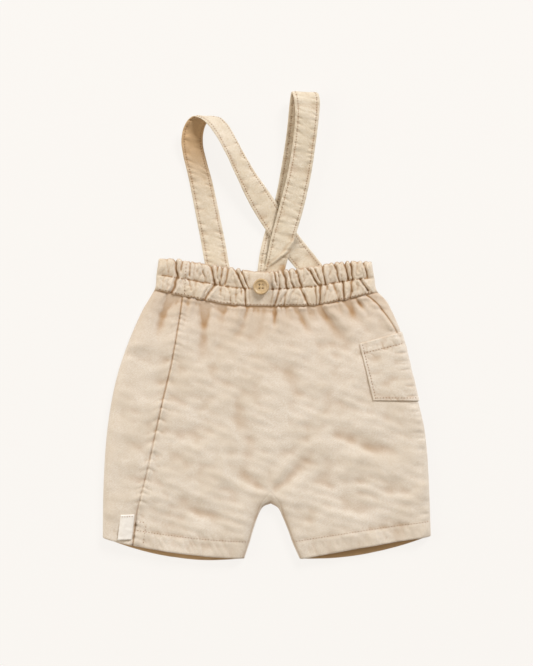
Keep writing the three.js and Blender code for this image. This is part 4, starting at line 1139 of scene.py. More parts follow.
def wall_strip(sheet: Arrays, thick: float, flip: bool) -> Strip:
    """A strip for closed_wall whose inner sheet lies one thickness in, with plan places as cloth places."""
    return sheet["at"], sheet["at"] - sheet["out"] * thick, sheet["at"][..., :2] * MM, sheet["painted_shade"], flip


def path_on_cloth(xy: np.ndarray, v: np.ndarray, face: Face) -> Path:
    """A row of stitches on the outer sheet, sunk a little on the underside to stay off the ground."""
    sheet = FORM.sheet(xy, v, face)
    sunk = 0.12 if face is Face.BACK else 0.0
    return sheet["at"] - sheet["out"] * sunk, sheet["out"]


def below_mean(points: np.ndarray, reach: float) -> np.ndarray:
    """How far each point lies below the mean height round it.

    The mean is taken on a plan grid of a third of the reach, spread three times to its neighbours in each
    direction, and read between its cells.

    Args:
        points: the points of one face.
        reach: how far round a point the mean is taken, in millimetres.

    Returns:
        The depth of each point, below 0 where it stands proud.
    """
    if not len(points):
        return np.zeros(0)
    place = (points[:, :2] - points[:, :2].min(axis=0)) / (reach / 3) + 5
    ids = np.round(place).astype(int)
    shape = tuple(ids.max(axis=0) + 7)
    total, count = np.zeros(shape), np.zeros(shape)
    np.add.at(total, tuple(ids.T), points[:, 2])
    np.add.at(count, tuple(ids.T), 1.0)
    for _ in range(3):
        for axis in (0, 1):
            total = total + np.roll(total, 1, axis) + np.roll(total, -1, axis)
            count = count + np.roll(count, 1, axis) + np.roll(count, -1, axis)
    mean = total / np.maximum(count, 1e-6)
    i = np.floor(place).astype(int)
    f = place - i
    row = [mix(mean[i[:, 0] + k, i[:, 1]], mean[i[:, 0] + k, i[:, 1] + 1], f[:, 1]) for k in (0, 1)]
    return mix(row[0], row[1], f[:, 0]) - points[:, 2]


def from_row_ends(points: np.ndarray, deep: float = 4.0) -> np.ndarray:
    """How far each point lies in from the first and last point of its own row, so deep, in millimetres."""
    row = np.floor((points[:, 1] - points[:, 1].min()) / deep).astype(int)
    first, last = np.full(row.max() + 1, np.inf), np.full(row.max() + 1, -np.inf)
    np.minimum.at(first, row, points[:, 0])
    np.maximum.at(last, row, points[:, 0])
    return np.minimum(points[:, 0] - first[row], last[row] - points[:, 0])


# A point of a rim counts with the outer sheet below this share of the inner sheet's painted shade
RIM_IS_OUTER = 0.3


def hollow(wall: Arrays, *scales: tuple[float, float]) -> Arrays:
    """Add the fold attribute from how deep each point lies in a hollow of its own face, and its shade.

    The fold attribute is painted shade for the finish to mix in. The depth counts less and less towards
    the side folds, where the cloth turns over and is no hollow.

    Args:
        wall: points with their heights.
        scales: for each size of hollow its reach and the depth at which it counts in full, in millimetres.

    Returns:
        The same wall with fold added.
    """
    points = wall["points"]
    outer = wall["inner"] < RIM_IS_OUTER
    fold = wall["painted_shade"].copy()
    off_side = smooth((from_row_ends(points) - 1.5) / 5)
    for face, sign in ((outer & (points[:, 2] > SIDE_RISE), 1), (outer & (points[:, 2] <= SIDE_RISE), -1)):
        for reach, deep in scales:
            fold[face] += np.clip(sign * below_mean(points[face], reach) / deep, 0, 1) * off_side[face]
    wall["fold"] = np.clip(fold, 0, 1) * outer
    return wall


@dataclass
class FrontPanel:
    """Front panel, in a left and a right half that share the middle above the fork."""

    plain: int = 76

    def wall(self) -> Arrays:
        """The panel's closed wall."""
        v = panel_rows()
        strips = []
        for side in Side:
            length = row_length(side, v, Face.FRONT)
            seam_steps = np.array([0.0, 0.4, 0.85, 1.4, 2.2, 3.2]) / SIDE_REACH_BODY
            arc_in = seam_steps if side is Side.LEFT else START_ARC
            columns = half_columns(
                seam_start(side, v) / length, arc_in, SIDE_REACH_BODY / length, self.plain, v
            )
            sheet = panel_sheet(side, v, columns, Face.FRONT)
            strips.append(wall_strip(sheet, CLOTH, side is Side.RIGHT))
        return hollow(closed_wall(strips), (7, 3.2), (20, 5.0))

    def hem_rows(self) -> list[Path]:
        """Paths of the hem's stitch row on both legs."""
        paths = []
        for side, first in ((Side.LEFT, 0.235), (Side.RIGHT, 0.016)):
            u, v = np.linspace(first, 0.985, 160), np.full(160, HEM_ROW)
            paths.append(path_on_cloth(FORM.row_point(side, v, u, Face.FRONT), v, Face.FRONT))
        for ends in NOTCH_ROWS:
            xy = np.array(ends)
            xy = mix(xy[:1], xy[1:], np.linspace(0, 1, 30)[:, None])
            v = np.interp(-xy[:, 1], (160.0, 186.0), (0.91, 1.0))
            paths.append(path_on_cloth(xy, v, Face.FRONT))
        return paths


@dataclass
class BackPanel:
    """Back panel: from the seam on the top face round the side fold, flat under the garment to the middle,
    and below the fork round the inner leg to the seam there."""

    under_plain: int = 60

    def wall(self) -> Arrays:
        """The panel's closed wall."""
        v = panel_rows()[::2]
        v = np.unique(np.append(v, [CROTCH, 1.0]))
        strips = []
        for side in Side:
            front_length = row_length(side, v, Face.FRONT)
            length = row_length(side, v, Face.BACK)
            seam = (seam_start(side, v) - SEAM_GAP) / front_length
            reach = np.minimum(seam, mix(SIDE_REACH_BAND, SIDE_REACH_BODY, smooth(v / 0.15)) / front_length)
            if side is Side.LEFT:
                flat = mix(seam[:, None], reach[:, None], np.linspace(0, 1, 28)[None] ** 1.3)
                top = np.concatenate([flat, reach[:, None] * ARC[None, 1:-1]], axis=1)
            else:
                top = seam[:, None] * np.linspace(1, 0.12, 7)[None]
            under = half_columns(
                np.zeros(len(v)), START_ARC, SIDE_REACH_UNDER / length, self.under_plain, v
            )
            sheet = joined(panel_sheet(side, v, top, Face.FRONT), panel_sheet(side, v, under, Face.BACK))
            strips.append(wall_strip(sheet, CLOTH, side is Side.LEFT))
            strips.append(wall_strip(self.leg_wrap(side, v[v >= CROTCH]), CLOTH, side is Side.LEFT))
        return hollow(closed_wall(strips), (7, 3.2), (20, 5.0))

    def hem_rows(self) -> list[Path]:
        """Paths of the hem's stitch row on both legs of the underside."""
        paths = []
        for side in Side:
            u, v = np.linspace(0.03, 0.96, 160), np.full(160, HEM_ROW)
            paths.append(path_on_cloth(FORM.row_point(side, v, u, Face.BACK), v, Face.BACK))
        return paths

    def leg_wrap(self, side: Side, v: np.ndarray) -> Arrays:
        """The strip that comes round the inner leg to the seam on the top face."""
        level = np.broadcast_to(v[:, None], (len(v), 6))
        fold = FORM.leg_point(INNER_LEG, side, v)[:, None]
        edge = FORM.leg_point(INNER_SEAM, side, v)[:, None]
        wide = np.linalg.norm(edge - fold, axis=-1, keepdims=True)
        share = np.linspace(0, 1, 6)[None, :, None] * (1 - FORK_GAP / wide)
        xy = mix(fold, edge, share)
        first = panel_sheet(side, v, np.ones((len(v), 1)), Face.BACK)
        rest = FORM.sheet(xy[:, 1:], level[:, 1:], Face.FRONT)
        return joined(first, rest)


@dataclass
class Waistband:
    """Gathered band with two elastic channels, in a front and a back length that close on the straps."""

    rows: int = 49

    def levels(self) -> np.ndarray:
        """Levels of the band's rows from its top edge to the waist seam."""
        return np.linspace(-1, 0, self.rows)

    def strip(self, sheet: Arrays, flip: bool) -> Strip:
        """A strip whose inner sheet on the top face lies at the ceiling of the band's hollow."""
        inner = sheet["at"] - sheet["out"] * BAND_CLOTH
        inner[..., 2] = np.where(sheet["top"], sheet["ceiling"], inner[..., 2] - sheet["dent"])
        return sheet["at"], inner, sheet["at"][..., :2] * MM, sheet["painted_shade"], flip

    def front(self) -> Arrays:
        """The front length's closed wall."""
        v = self.levels()[:, None]
        share = np.linspace(0, 1, 261)[None]
        left, right = BAND_SEAM[Side.LEFT], BAND_SEAM[Side.RIGHT]
        x = mix(mix(left[0], left[1], v + 1), mix(right[0], right[1], v + 1), share)
        level = np.broadcast_to(v, x.shape)
        sheet = FORM.sheet(FORM.band_point(x, level), level, Face.FRONT)
        return hollow(closed_wall([self.strip(sheet, False)]), (2.6, 1.2), (8, 3.4))

    def back(self) -> Arrays:
        """The back length's closed wall: top left, side fold, underside, side fold, top right."""
        v = self.levels()[::2]
        left = FORM.side_point(Side.LEFT, v)[:, :1]
        right = FORM.side_point(Side.RIGHT, v)[:, :1]
        seam_left = (mix(*BAND_SEAM[Side.LEFT], v + 1) - SEAM_GAP)[:, None]
        seam_right = (mix(*BAND_SEAM[Side.RIGHT], v + 1) + SEAM_GAP)[:, None]
        top_left = mix(seam_left, left + SIDE_REACH_BAND, np.linspace(0, 1, 34)[None])
        arc_left = left + SIDE_REACH_BAND * ARC[None, 1:-1]
        bottom = np.concatenate([
            left + SIDE_REACH_UNDER * START_ARC[None, 1:],
            mix(left + SIDE_REACH_UNDER, right - SIDE_REACH_UNDER, np.linspace(0, 1, 190)[None, 1:-1]),
            right - SIDE_REACH_UNDER * ARC[None, :-1],
        ], axis=1)
        arc_right = right - SIDE_REACH_BAND * START_ARC[None, 1:]
        top_right = mix(right - SIDE_REACH_BAND, seam_right, np.linspace(0, 1, 12)[None, 1:])
        level = v[:, None]

        def part(x: np.ndarray, face: Face, on_outline: bool = False) -> Arrays:
            """Sheet points at places across, on one face."""
            full = np.broadcast_to(level, x.shape)
            return FORM.sheet(FORM.band_point(x, full), full, face, on_outline)

        sheet = joined(
            part(np.concatenate([top_left, arc_left], axis=1), Face.FRONT), part(left, Face.FRONT, True),
            part(bottom, Face.BACK), part(right, Face.FRONT, True),
            part(np.concatenate([arc_right, top_right], axis=1), Face.FRONT),
        )
        return hollow(closed_wall([self.strip(sheet, True)]), (2.6, 1.2), (8, 3.4))

    def stitch_rows(self) -> list[Path]:
        """Paths of the rows between the channels, above the waist seam and beside the left band seam."""
        v = np.linspace(-0.97, -0.04, 60)
        x = mix(*BAND_SEAM[Side.LEFT], v + 1) + 1.6
        paths = [path_on_cloth(FORM.band_point(x, v), v, Face.FRONT)]
        for face in Face:
            for level, low, high in ((-0.5, -90.0, 87.5), (-0.05, -92.5, 90.5)):
                x = np.linspace(low, high, 420)
                v = np.full(420, level)
                paths.append(path_on_cloth(FORM.band_point(x, v), v, face))
        return paths


def through(points: np.ndarray, t: np.ndarray) -> np.ndarray:
    """A smooth curve through points, by the centripetal Catmull-Rom rule.

    Each stretch is the cubic between two points whose end slopes come from the points either side, with
    knots a root of the distance apart; beyond the ends a point is added in line.

    Args:
        points: the points to pass through.
        t: places along, with whole numbers at the points.

    Returns:
        The curve's points.
    """
    full = np.concatenate([[2 * points[0] - points[1]], points, [2 * points[-1] - points[-2]]])
    i = np.clip(np.floor(t).astype(int), 0, len(points) - 2)
    w = (t - i)[:, None]
    p0, p1, p2, p3 = (full[i + k] for k in range(4))
    pairs = ((p0, p1), (p1, p2), (p2, p3))
    d0, d1, d2 = (np.sqrt(np.linalg.norm(b - a, axis=-1, keepdims=True)) for a, b in pairs)
    m1 = d1 * ((p1 - p0) / d0 - (p2 - p0) / (d0 + d1) + (p2 - p1) / d1)
    m2 = d1 * ((p2 - p1) / d1 - (p3 - p1) / (d1 + d2) + (p3 - p2) / d2)
    start = (2 * w**3 - 3 * w**2 + 1) * p1 + (w**3 - 2 * w**2 + w) * m1
    return start + (3 * w**2 - 2 * w**3) * p2 + (w**3 - w**2) * m2


@dataclass
class Strap:
    """Shoulder strap: a flat folded strip between its two long edges, a and b, given at stations from the
    band up the lower layer, over the loop, and down the upper layer to the band again."""

    name: str
    seed: int
    stations: Table
    dive: bool = False
    # Painted shade: under the loop on the underside, and evenly over the strap
    underside_shade: float = 0.8
    base_shade: float = 0.1
    flat_length: float = 0.313
    columns: int = 25
    step: float = 0.95
    wide: float = 21.5
    stitch_inset: float = 2.3

    def middle(self) -> tuple[np.ndarray, np.ndarray, np.ndarray, np.ndarray]:
        """The strip's middle sheet.

        Both edges are curves through the stations. Between them each row is straight, except where the upper
        layer dives into the band: there the strip lies low beyond a slanting ridge from edge b to edge a.

        Returns:
            Points, ways out, shares across from edge a to edge b, and lengths along, each on one grid.
        """
        rows = self.stations.rows
        dense = np.linspace(0, len(rows) - 1, 3000)
        a, b = through(rows[:, :3], dense), through(rows[:, 3:], dense)
        length = np.concatenate([[0], np.cumsum(np.linalg.norm(np.diff((a + b) / 2, axis=0), axis=-1))])
        t = np.interp(np.linspace(0, length[-1], int(length[-1] / self.step)), length, dense)
        a, b = through(rows[:, :3], t), through(rows[:, 3:], t)
        along = np.interp(t, dense, length)
        ahead = unit(np.gradient(a, axis=0) + np.gradient(b, axis=0))
        wide = unit(b - a)
        out = unit(np.cross(ahead, wide))
        share = np.linspace(0, 1, self.columns)[None]
        at = mix(a[:, None], b[:, None], share[..., None])
        if self.dive:
            loop_top = a[:, 1].argmax()
            upper = np.arange(len(a))[:, None] > loop_top
            ridge = np.interp(at[..., 1], *DIVE_RIDGE)
            fall = smooth((share - ridge) / 0.21)
            rim = 0.8 * bell(share - ridge + 0.01, 0.085) * smooth((DIVE_TOP - at[..., 1]) / 4)
            low = mix(at[..., 2], np.minimum(at[..., 2], 4.85), fall) + rim
            at[..., 2] = np.where(upper & (at[..., 1] < DIVE_TOP), low, at[..., 2])
        out = np.broadcast_to(out[:, None], at.shape)
        return at, out, np.broadcast_to(share, at.shape[:2]), np.broadcast_to(along[:, None], at.shape[:2])

    def thick(self, share: np.ndarray, along: np.ndarray, face: int) -> np.ndarray:
        """Half thickness over the strip: rounded at the edges, pulled in at the stitch rows, and puckered.

        Args:
            share: place across from 0 to 1.
            along: length along, in millimetres.
            face: 1 for the outer face and -1 for the other.

        Returns:
            The height of that face above the middle sheet.
        """
        across = share * self.wide
        from_edge = np.minimum(across, self.wide - across)
        round_edge = np.sqrt(np.clip(1 - (1 - np.clip(from_edge / 1.3, 0, 1)) ** 2, 0.06, 1))
        ditch = 0.34 * bell(from_edge - self.stitch_inset, 0.7)
        bent = along + 0.18 * across * ripples(along, along * 0, 30, 30, self.seed + 5)
        pucker = billow(across, bent, 34, 11, self.seed + 3 * face) - 0.72
        near = bell(from_edge - 3.6, 3.4)
        soft = ripples(across, bent, 26, 13, self.seed + 9 + face) * 0.6
        height = STRAP_CLOTH / 2 - ditch + (0.95 * near + 0.12) * pucker + 0.5 * soft
        return np.maximum(height, 0.2) * round_edge

    def sway(self, at: np.ndarray, share: np.ndarray, along: np.ndarray) -> np.ndarray:
        """Slight waves of the whole strip, none where it lies on the ground."""
        return 0.3 * ripples(share * 9, along, 26, 10, self.seed + 20) * np.clip((at[..., 2] - 1) / 3, 0, 1)

    def wall(self) -> Arrays:
        """The strap's closed wall."""
        at, out, share, along = self.middle()
        middle = at + out * self.sway(at, share, along)[..., None]
        lifts = [self.thick(share, along, face) for face in (1, -1)]
        outer = middle + out * lifts[0][..., None]
        inner = middle - out * lifts[1][..., None]
        cloth = np.stack([share * self.wide, along], axis=-1) * MM
        from_edge = np.minimum(share, 1 - share) * self.wide
        # Painted shade in the ditches of the stitch rows
        ditch = 0.1 * bell(from_edge - self.stitch_inset, 0.7)
        wall = closed_wall([(outer, inner, cloth, ditch, False)], 0.25)
        deep = np.concatenate([(STRAP_CLOTH / 2 - lift).ravel() for lift in lifts])
        deep = deep * (np.tile(from_edge.ravel(), 2) > 1.4)
        count = deep.size
        both = np.zeros(len(wall["points"]))
        # Painted shade on both faces: an even base, the stitch ditches and the pucker hollows
        both[:count] = self.base_shade + np.tile(ditch.ravel(), 2) + np.clip((deep - 0.1) / 1.3, 0, 1) * 0.8
        # Painted shade on the underside face near the loop
        loop_top = along[at[:, :, 1].mean(axis=1).argmax(), 0]
        shaded = bell(along - loop_top + 14, 36) * (along < loop_top + 4)
        both[count // 2 : count] += 0.6 * self.underside_shade * shaded.ravel()
        if self.dive:
            off = (share - np.interp(at[..., 1], *DIVE_RIDGE)) * self.wide
            upper = (along > loop_top) & (at[..., 1] < DIVE_TOP)
            # Painted shade below the rolled rim, beside it on the upper side and in the hollow at the band,
            # and a little less on the rim itself
            foot = 0.5 * bell(off - 3.1, 0.75) + 0.12 * smooth(off / 3)
            foot = foot + 0.3 * bell(off + 3.4, 1.5) - 0.1 * bell(off - 0.3, 1.6)
            hole = 0.7 * smooth((share - 0.55) / 0.3) * smooth((54 - at[..., 1]) / 4)
            both[: count // 2] += ((foot + hole * (off > 2)) * upper).ravel()
        wall["fold"] = np.clip(both, 0, 1)
        # Painted shade: the underside takes the inside colour, most near the loop
        wall["inner"] = np.zeros(len(wall["points"]))
        wall["inner"][count // 2 : count] = 0.15 + 0.85 * self.underside_shade * shaded.ravel()
        return wall

    def stitch_rows(self) -> list[Path]:
        """Paths of the rows along both edges, on both faces."""
        at, out, share, along = self.middle()
        middle = at + out * self.sway(at, share, along)[..., None]
        paths = []
        for column in (3, self.columns - 4):
            for face in (1, -1):
                lift = self.thick(share, along, face)[:, column, None]
                row, way = middle[:, column] + face * out[:, column] * lift, face * out[:, column]
                if self.dive and face == 1 and column > 3:
                    upper = np.arange(len(row)) > row[:, 1].argmax()
                    kept = ~upper | (row[:, 1] > 74.5)
                    row, way = row[kept], way[kept]
                paths.append((row, way))
        return paths


# Rolled rim where the right strap's upper layer dives into the band: places along Y, and the rim's share
# across the strap at each
DIVE_RIDGE = ((46.5, 48.5, 55.8, 62.3, 70.0, 76.5), (-0.25, 0.0, 0.44, 0.8, 0.95, 1.25))
# Place along Y above which the upper layer lies free of the dive
DIVE_TOP = 78.0
# Edges a and b of each strap at its stations, from its lower end over the loop to its upper end
STRAP_LEFT = Table(
    "ax ay az bx by bz",
    (-50.2, 41, 3.05, -29.0, 38, 3.05), (-53.6, 57.5, 3.05, -32.5, 54, 3.05),
    (-56.2, 72, 1.0, -35.0, 68.5, 1.0), (-60.7, 95.5, 0.95, -39.6, 91, 0.95),
    (-67.5, 129.7, 1.6, -46.8, 124, 0.95), (-71.5, 146.7, 3.8, -51.6, 141.5, 1.0),
    (-72.7, 158.5, 6.6, -54.6, 155, 1.3), (-70.5, 168.5, 9.2, -54.2, 165.6, 2.1),
    (-66.6, 175.2, 11.4, -51.4, 173.4, 2.8), (-61.8, 177.6, 13.8, -46.6, 178.0, 3.5),
    (-57.0, 176.4, 15.8, -40.6, 178.2, 4.0), (-52.6, 173.0, 17.0, -36.0, 175.0, 4.2),
    (-44.8, 163.8, 17.6, -30.2, 167.4, 4.0), (-36.8, 150.2, 16.4, -23.6, 155.0, 3.7),
    (-25.4, 126.2, 12.2, -10.8, 133.0, 3.4), (-14.0, 103.0, 7.4, 3.4, 112.4, 3.2),
    (-2.0, 83.8, 4.2, 15.6, 94.6, 3.15), (9.3, 68.6, 3.3, 27.4, 77.4, 3.1),
    (20.6, 54.4, 3.05, 40.2, 61.4, 3.05), (32.6, 41.0, 3.05, 51.2, 47.4, 3.05),
)
STRAP_RIGHT = Table(
    "ax ay az bx by bz",
    (-9.0, 38, 3.05, 12.4, 36.5, 3.05), (-7.5, 51, 3.0, 13.9, 49.5, 3.0), (-6.0, 62, 2.8, 15.3, 60, 1.0),
    (-1.5, 81, 1.5, 19.2, 77, 0.95), (7.0, 108, 0.95, 27.6, 103.5, 0.95),
    (13.3, 141.1, 0.95, 34.6, 138, 0.95), (17.3, 168, 1.3, 38.6, 166.5, 1.1),
    (18.9, 184.5, 2.9, 40.2, 183.8, 2.4), (20.0, 194.6, 6.0, 41.5, 193.6, 5.2),
    (20.9, 198.6, 10.0, 42.6, 197.4, 8.8), (22.0, 196.4, 14.0, 44.0, 195.6, 12.4),
    (23.4, 189.4, 15.8, 44.8, 189.0, 14.0), (24.1, 180, 15.6, 44.2, 179, 13.6),
    (22.4, 158.1, 13.8, 41.6, 157, 12.0), (17.9, 130.5, 11.0, 37.5, 129, 9.6),
    (11.0, 103.2, 8.8, 31.2, 100.4, 7.8), (7.4, 89.6, 7.9, 27.4, 87.0, 7.4),
    (4.0, 77.2, 6.7, 23.9, 75.4, 7.2), (1.5, 65.4, 5.4, 20.6, 65.2, 7.0),
    (-0.5, 55.6, 5.2, 17.5, 56.2, 6.5), (-2.3, 49.0, 4.9, 15.6, 48.8, 5.1),
    (-3.1, 43.5, 4.85, 14.9, 43.2, 4.85),
)


# Free side of the pocket, with t from 0 at the opening to 1 at the bottom edge
POCKET_EDGE = Table("t x y", (0.0, 78.8, -15.1), (0.5, 84.9, -39.5), (1.0, 90.5, -62.6))


@dataclass
class PatchPocket:
    """Patch pocket at the right side, made from the front panel's points moved out."""

    gap: float = 0.25
    cloth: float = 0.95
    puff: float = 0.9
    top_v: float = 0.165
    low_v: float = 0.445
    rows: int = 76
    columns: int = 58
    wide: float = 46.0
    high: float = 57.0
    top_row: float = 9.0
    side_row: float = 2.6
    low_row: float = 2.4

    def grid(self, t: np.ndarray, s: np.ndarray) -> tuple[np.ndarray, np.ndarray]:
        """Outer points and ways out at shares down and across the pocket.

        The pocket lies on the panel's own points, puffed in its middle, with a turned and stitched top hem,
        a ditch at its side and bottom rows, and slanting puckers between them.

        Args:
            t: 0 at the opening to 1 at the bottom edge.
            s: 0 at the free side to 1 at the side seam.

        Returns:
            The outer points and the way out at each.
        """
        v = mix(self.top_v, self.low_v, t)
        near = np.stack([POCKET_EDGE.at("x", t), POCKET_EDGE.at("y", t)], axis=-1)
        xy = mix(near, FORM.side_point(Side.RIGHT, v), s[..., None])
        bow = np.sin(math.pi * t) * np.sin(math.pi * np.clip(s, 0, 1))
        sheet = FORM.sheet(xy, v, Face.FRONT, s == 1)
        down, across = t * self.high, s * self.wide
        up = self.high - down
        top_row = bell(down - self.top_row, 0.8)
        side_row = bell(across - self.side_row, 0.7) + bell(up - self.low_row, 0.7)
        inside = smooth((1 - s) / 0.2)
        hem = 0.22 * smooth((10.2 - down) / 2.4) * inside
        rows = bell(np.minimum(np.minimum(across, up), np.abs(down - self.top_row)), 5.0)
        pucker = 0.4 * (billow(across + 0.4 * down, down - 0.4 * across, 11, 11, 41) - 0.7) * rows
        pucker = pucker + 0.42 * ripples(across, down, 22, 15, 42)
        lip = 0.5 * np.sin(math.pi * np.clip(s, 0, 1)) * smooth((8 - down) / 8)
        lift = self.puff * bow**0.6 * 0.8 + hem + pucker + lip - 0.16 * top_row - 0.16 * side_row
        above = self.gap + self.cloth + np.maximum(lift, 0)[..., None]
        return sheet["at"] + sheet["out"] * above, sheet["out"]

    def shares(self) -> np.ndarray:
        """Shares across, even on the flat and closer together round the side fold."""
        reach = SIDE_REACH_BODY / self.wide
        return np.concatenate([np.linspace(0, 1 - reach, self.columns - 8), 1 - reach * ARC[1:]])

    def wall(self) -> Arrays:
        """The pocket's closed wall."""
        s = self.shares()
        t = np.linspace(0, 1, self.rows)
        down, over = np.meshgrid(t, s, indexing="ij")
        outer, out = self.grid(down, over)
        inner = outer - out * self.cloth
        down, across = down * self.high, over * self.wide
        cloth = np.stack([across, -down], axis=-1) * MM
        # Painted shade along the stitch rows
        shade = 0.08 * bell(down - self.top_row, 0.7) + 0.08 * bell(across - self.side_row, 0.7)
        shade = shade + 0.08 * bell(self.high - down - self.low_row, 0.7)
        # Painted shadow: the rim takes most of the inside colour, a dark contact line round the pocket
        wall = closed_wall([(outer, inner, cloth, shade, False)], rim_shade=0.75)
        wall = hollow(wall, (3.5, 0.8), (12, 2.0))
        # No painted shadow on the rim along the side fold
        by_side = (wall["cloth"][:, 0] > 40 * MM) & (wall["inner"] < 0.9)
        wall["inner"] = np.where(by_side, 0, wall["inner"])
        return wall

    def stitch_rows(self) -> list[Path]:
        """Paths of the top hem row, the free side's row and the bottom row."""
        line = np.linspace(0, 1, 90)
        shapes = (
            (np.full(90, self.top_row / self.high), mix(0.02, 0.93, line)),
            (mix(0.01, 0.985, line), np.full(90, self.side_row / self.wide)),
            (np.full(90, 1 - self.low_row / self.high), mix(0.06, 0.95, line)),
        )
        return [self.grid(t, s) for t, s in shapes]


@dataclass
class HemTab:
    """Folded blank tab at the left hem, laid over the wrapped panel's smooth height."""

    gap: float = 0.4
    level: float = 0.93
    top_left: tuple[float, float] = (-123.7, -160.4)
    top_right: tuple[float, float] = (-112.6, -159.9)
    low_left: tuple[float, float] = (-126.3, -181.0)
    low_right: tuple[float, float] = (-115.0, -180.6)

    def grid(self, t: np.ndarray, s: np.ndarray) -> tuple[np.ndarray, np.ndarray]:
        """Outer points and ways out: the panel's smooth height, with the tab's middle a little proud."""
        top = mix(np.array(self.top_left), np.array(self.top_right), s[..., None])
        low = mix(np.array(self.low_left), np.array(self.low_right), s[..., None])
        xy = mix(top, low, t[..., None])
        height = LOFT.at("z", np.full(t.shape, self.level)) + 0.55 + self.gap + LABEL_CLOTH
        puff = 0.35 * np.sin(math.pi * s) * np.sin(math.pi * np.clip(t * 0.9 + 0.05, 0, 1)) ** 0.5
        tilt = -0.5 * smooth((0.25 - s) / 0.25)
        z = height + puff + tilt + 0.12 * ripples(xy[..., 0], xy[..., 1], 7, 6, 51)
        points = np.concatenate([xy, z[..., None]], axis=-1)
        return points, np.broadcast_to([0.0, 0.0, 1.0], points.shape)

    def wall(self) -> Arrays:
        """The tab's closed wall."""
        down, over = np.meshgrid(np.linspace(0, 1, 40), np.linspace(0, 1, 22), indexing="ij")
        outer, out = self.grid(down, over)
        cloth = np.stack([over * 11.2, -down * 20.8], axis=-1) * MM
        return closed_wall([(outer, outer - out * LABEL_CLOTH, cloth, np.zeros(down.shape), False)])

    def stitch_rows(self) -> list[Path]:
        """Path of the row that holds the tab's top edge."""
        s = np.linspace(0.04, 0.96, 40)
        return [self.grid(np.full(40, 0.06), s)]


# Section of the button from the axis under it to the axis on top, as shares of its radius and thickness
BUTTON_PROFILE = (
    (0.0, 0.0), (0.70, 0.0), (0.88, 0.08), (0.97, 0.28), (1.0, 0.52), (0.99, 0.72), (0.95, 0.88),
    (0.89, 0.98), (0.83, 0.99), (0.77, 0.92), (0.71, 0.76), (0.64, 0.64), (0.5, 0.60), (0.3, 0.585),
    (0.0, 0.58),
)


@dataclass
class FrontButton:
    """Four-hole button, turned from a rim profile, tilted a little and sewn on with a cross of thread."""

    x: float = -4.5
    y: float = 33.6
    z: float = 9.8
    radius: float = 6.9
    thick: float = 2.8
    tilt: float = 12.0
    hole: float = 0.75
    spacing: float = 1.45

    def placed(self, points: np.ndarray) -> np.ndarray:
        """Turn points of the button's own axes by its tilt and move them to its place."""
        angle = math.radians(-self.tilt)
        turn = np.array([
            [math.cos(angle), 0, math.sin(angle)], [0, 1, 0], [-math.sin(angle), 0, math.cos(angle)],
        ])
        return points @ turn.T + np.array([self.x, self.y, self.z])

    def lathe(self, profile: np.ndarray, sides: int) -> Arrays:
        """Turn a profile of radius and height, from the axis to the axis, into a closed body.

        Args:
            profile: radii and heights; the first and last are on the axis.
            sides: points round.

        Returns:
            Points and triangles.
        """
        turn = np.arange(sides) * 2 * math.pi / sides
        body = profile[1:-1]
        ring = np.stack([np.cos(turn), np.sin(turn)], axis=-1)
        points = np.concatenate([
            body[:, None, :1] * ring[None], np.broadcast_to(body[:, None, 1:], (len(body), sides, 1)),
        ], axis=-1).reshape(-1, 3)
        ends = np.array([[0, 0, profile[0, 1]], [0, 0, profile[-1, 1]]])
        ids = np.arange(len(body) * sides).reshape(len(body), sides)
        nxt = np.roll(ids, -1, axis=1)
        faces = np.concatenate([
            tube_faces(ids),
            np.stack([nxt[0], ids[0], np.full(sides, len(points))], axis=-1),
            np.stack([ids[-1], nxt[-1], np.full(sides, len(points) + 1)], axis=-1),
        ])
        return {"points": np.concatenate([points, ends]), "faces": faces}

    def build(self, material: bpy.types.Material) -> bpy.types.Object:
        """Turn the button, cut its four holes and place it."""
        corners = np.array(BUTTON_PROFILE) * (self.radius, self.thick)
        disc = make_piece("button_face", self.lathe(corners, 72), material)
        past = self.thick + 1
        drill = np.array([(0, -1), (self.hole, -1), (self.hole, past), (0, past)])
        pins = []
        for sx in (-1, 1):
            for sy in (-1, 1):
                pin = self.lathe(drill, 20)
                pin["points"] = pin["points"] + np.array([sx * self.spacing, sy * self.spacing, 0])
                pins.append(make_piece("pin", pin, material))
                cut = disc.modifiers.new("hole", "BOOLEAN")
                cut.operation = "DIFFERENCE"
                cut.solver = "EXACT"
                cut.object = pins[-1]
        bpy.context.view_layer.update()
        graph = bpy.context.evaluated_depsgraph_get()
        cut_mesh = bpy.data.meshes.new_from_object(disc.evaluated_get(graph))
        disc.modifiers.clear()
        old = disc.data
        disc.data = cut_mesh
        bpy.data.meshes.remove(old)
        for pin in pins:
            mesh = pin.data
            bpy.data.objects.remove(pin)
            bpy.data.meshes.remove(mesh)
        points = np.empty(len(cut_mesh.vertices) * 3, dtype=np.float32)
        cut_mesh.vertices.foreach_get("co", points)
        cut_mesh.vertices.foreach_set(
            "co", (self.placed(points.reshape(-1, 3) / MM) * MM).astype(np.float32).ravel()
        )
        cut_mesh.update()
        return disc

    def thread(self) -> Arrays:
        """Two strands each way between the holes, in a cross, with their ends down in the holes."""
        paths = []
        lean = math.radians(self.tilt)
        for sign in (1, -1):
            for shift in (-0.22, 0.22):
                t = np.linspace(-1, 1, 9)
                x = self.spacing * t + shift * 0.7
                y = sign * self.spacing * t - sign * shift * 0.7
                z = 0.62 * self.thick + 0.25 - 1.5 * np.clip(np.abs(t) - 0.72, 0, 1) * 2
                points = self.placed(np.stack([x, y, z], axis=-1))
                out = np.broadcast_to([-math.sin(lean), 0, math.cos(lean)], points.shape)
                paths.append((points, out))
        return stitches(paths, pitch=4.6, share=1.0, radius=0.3)


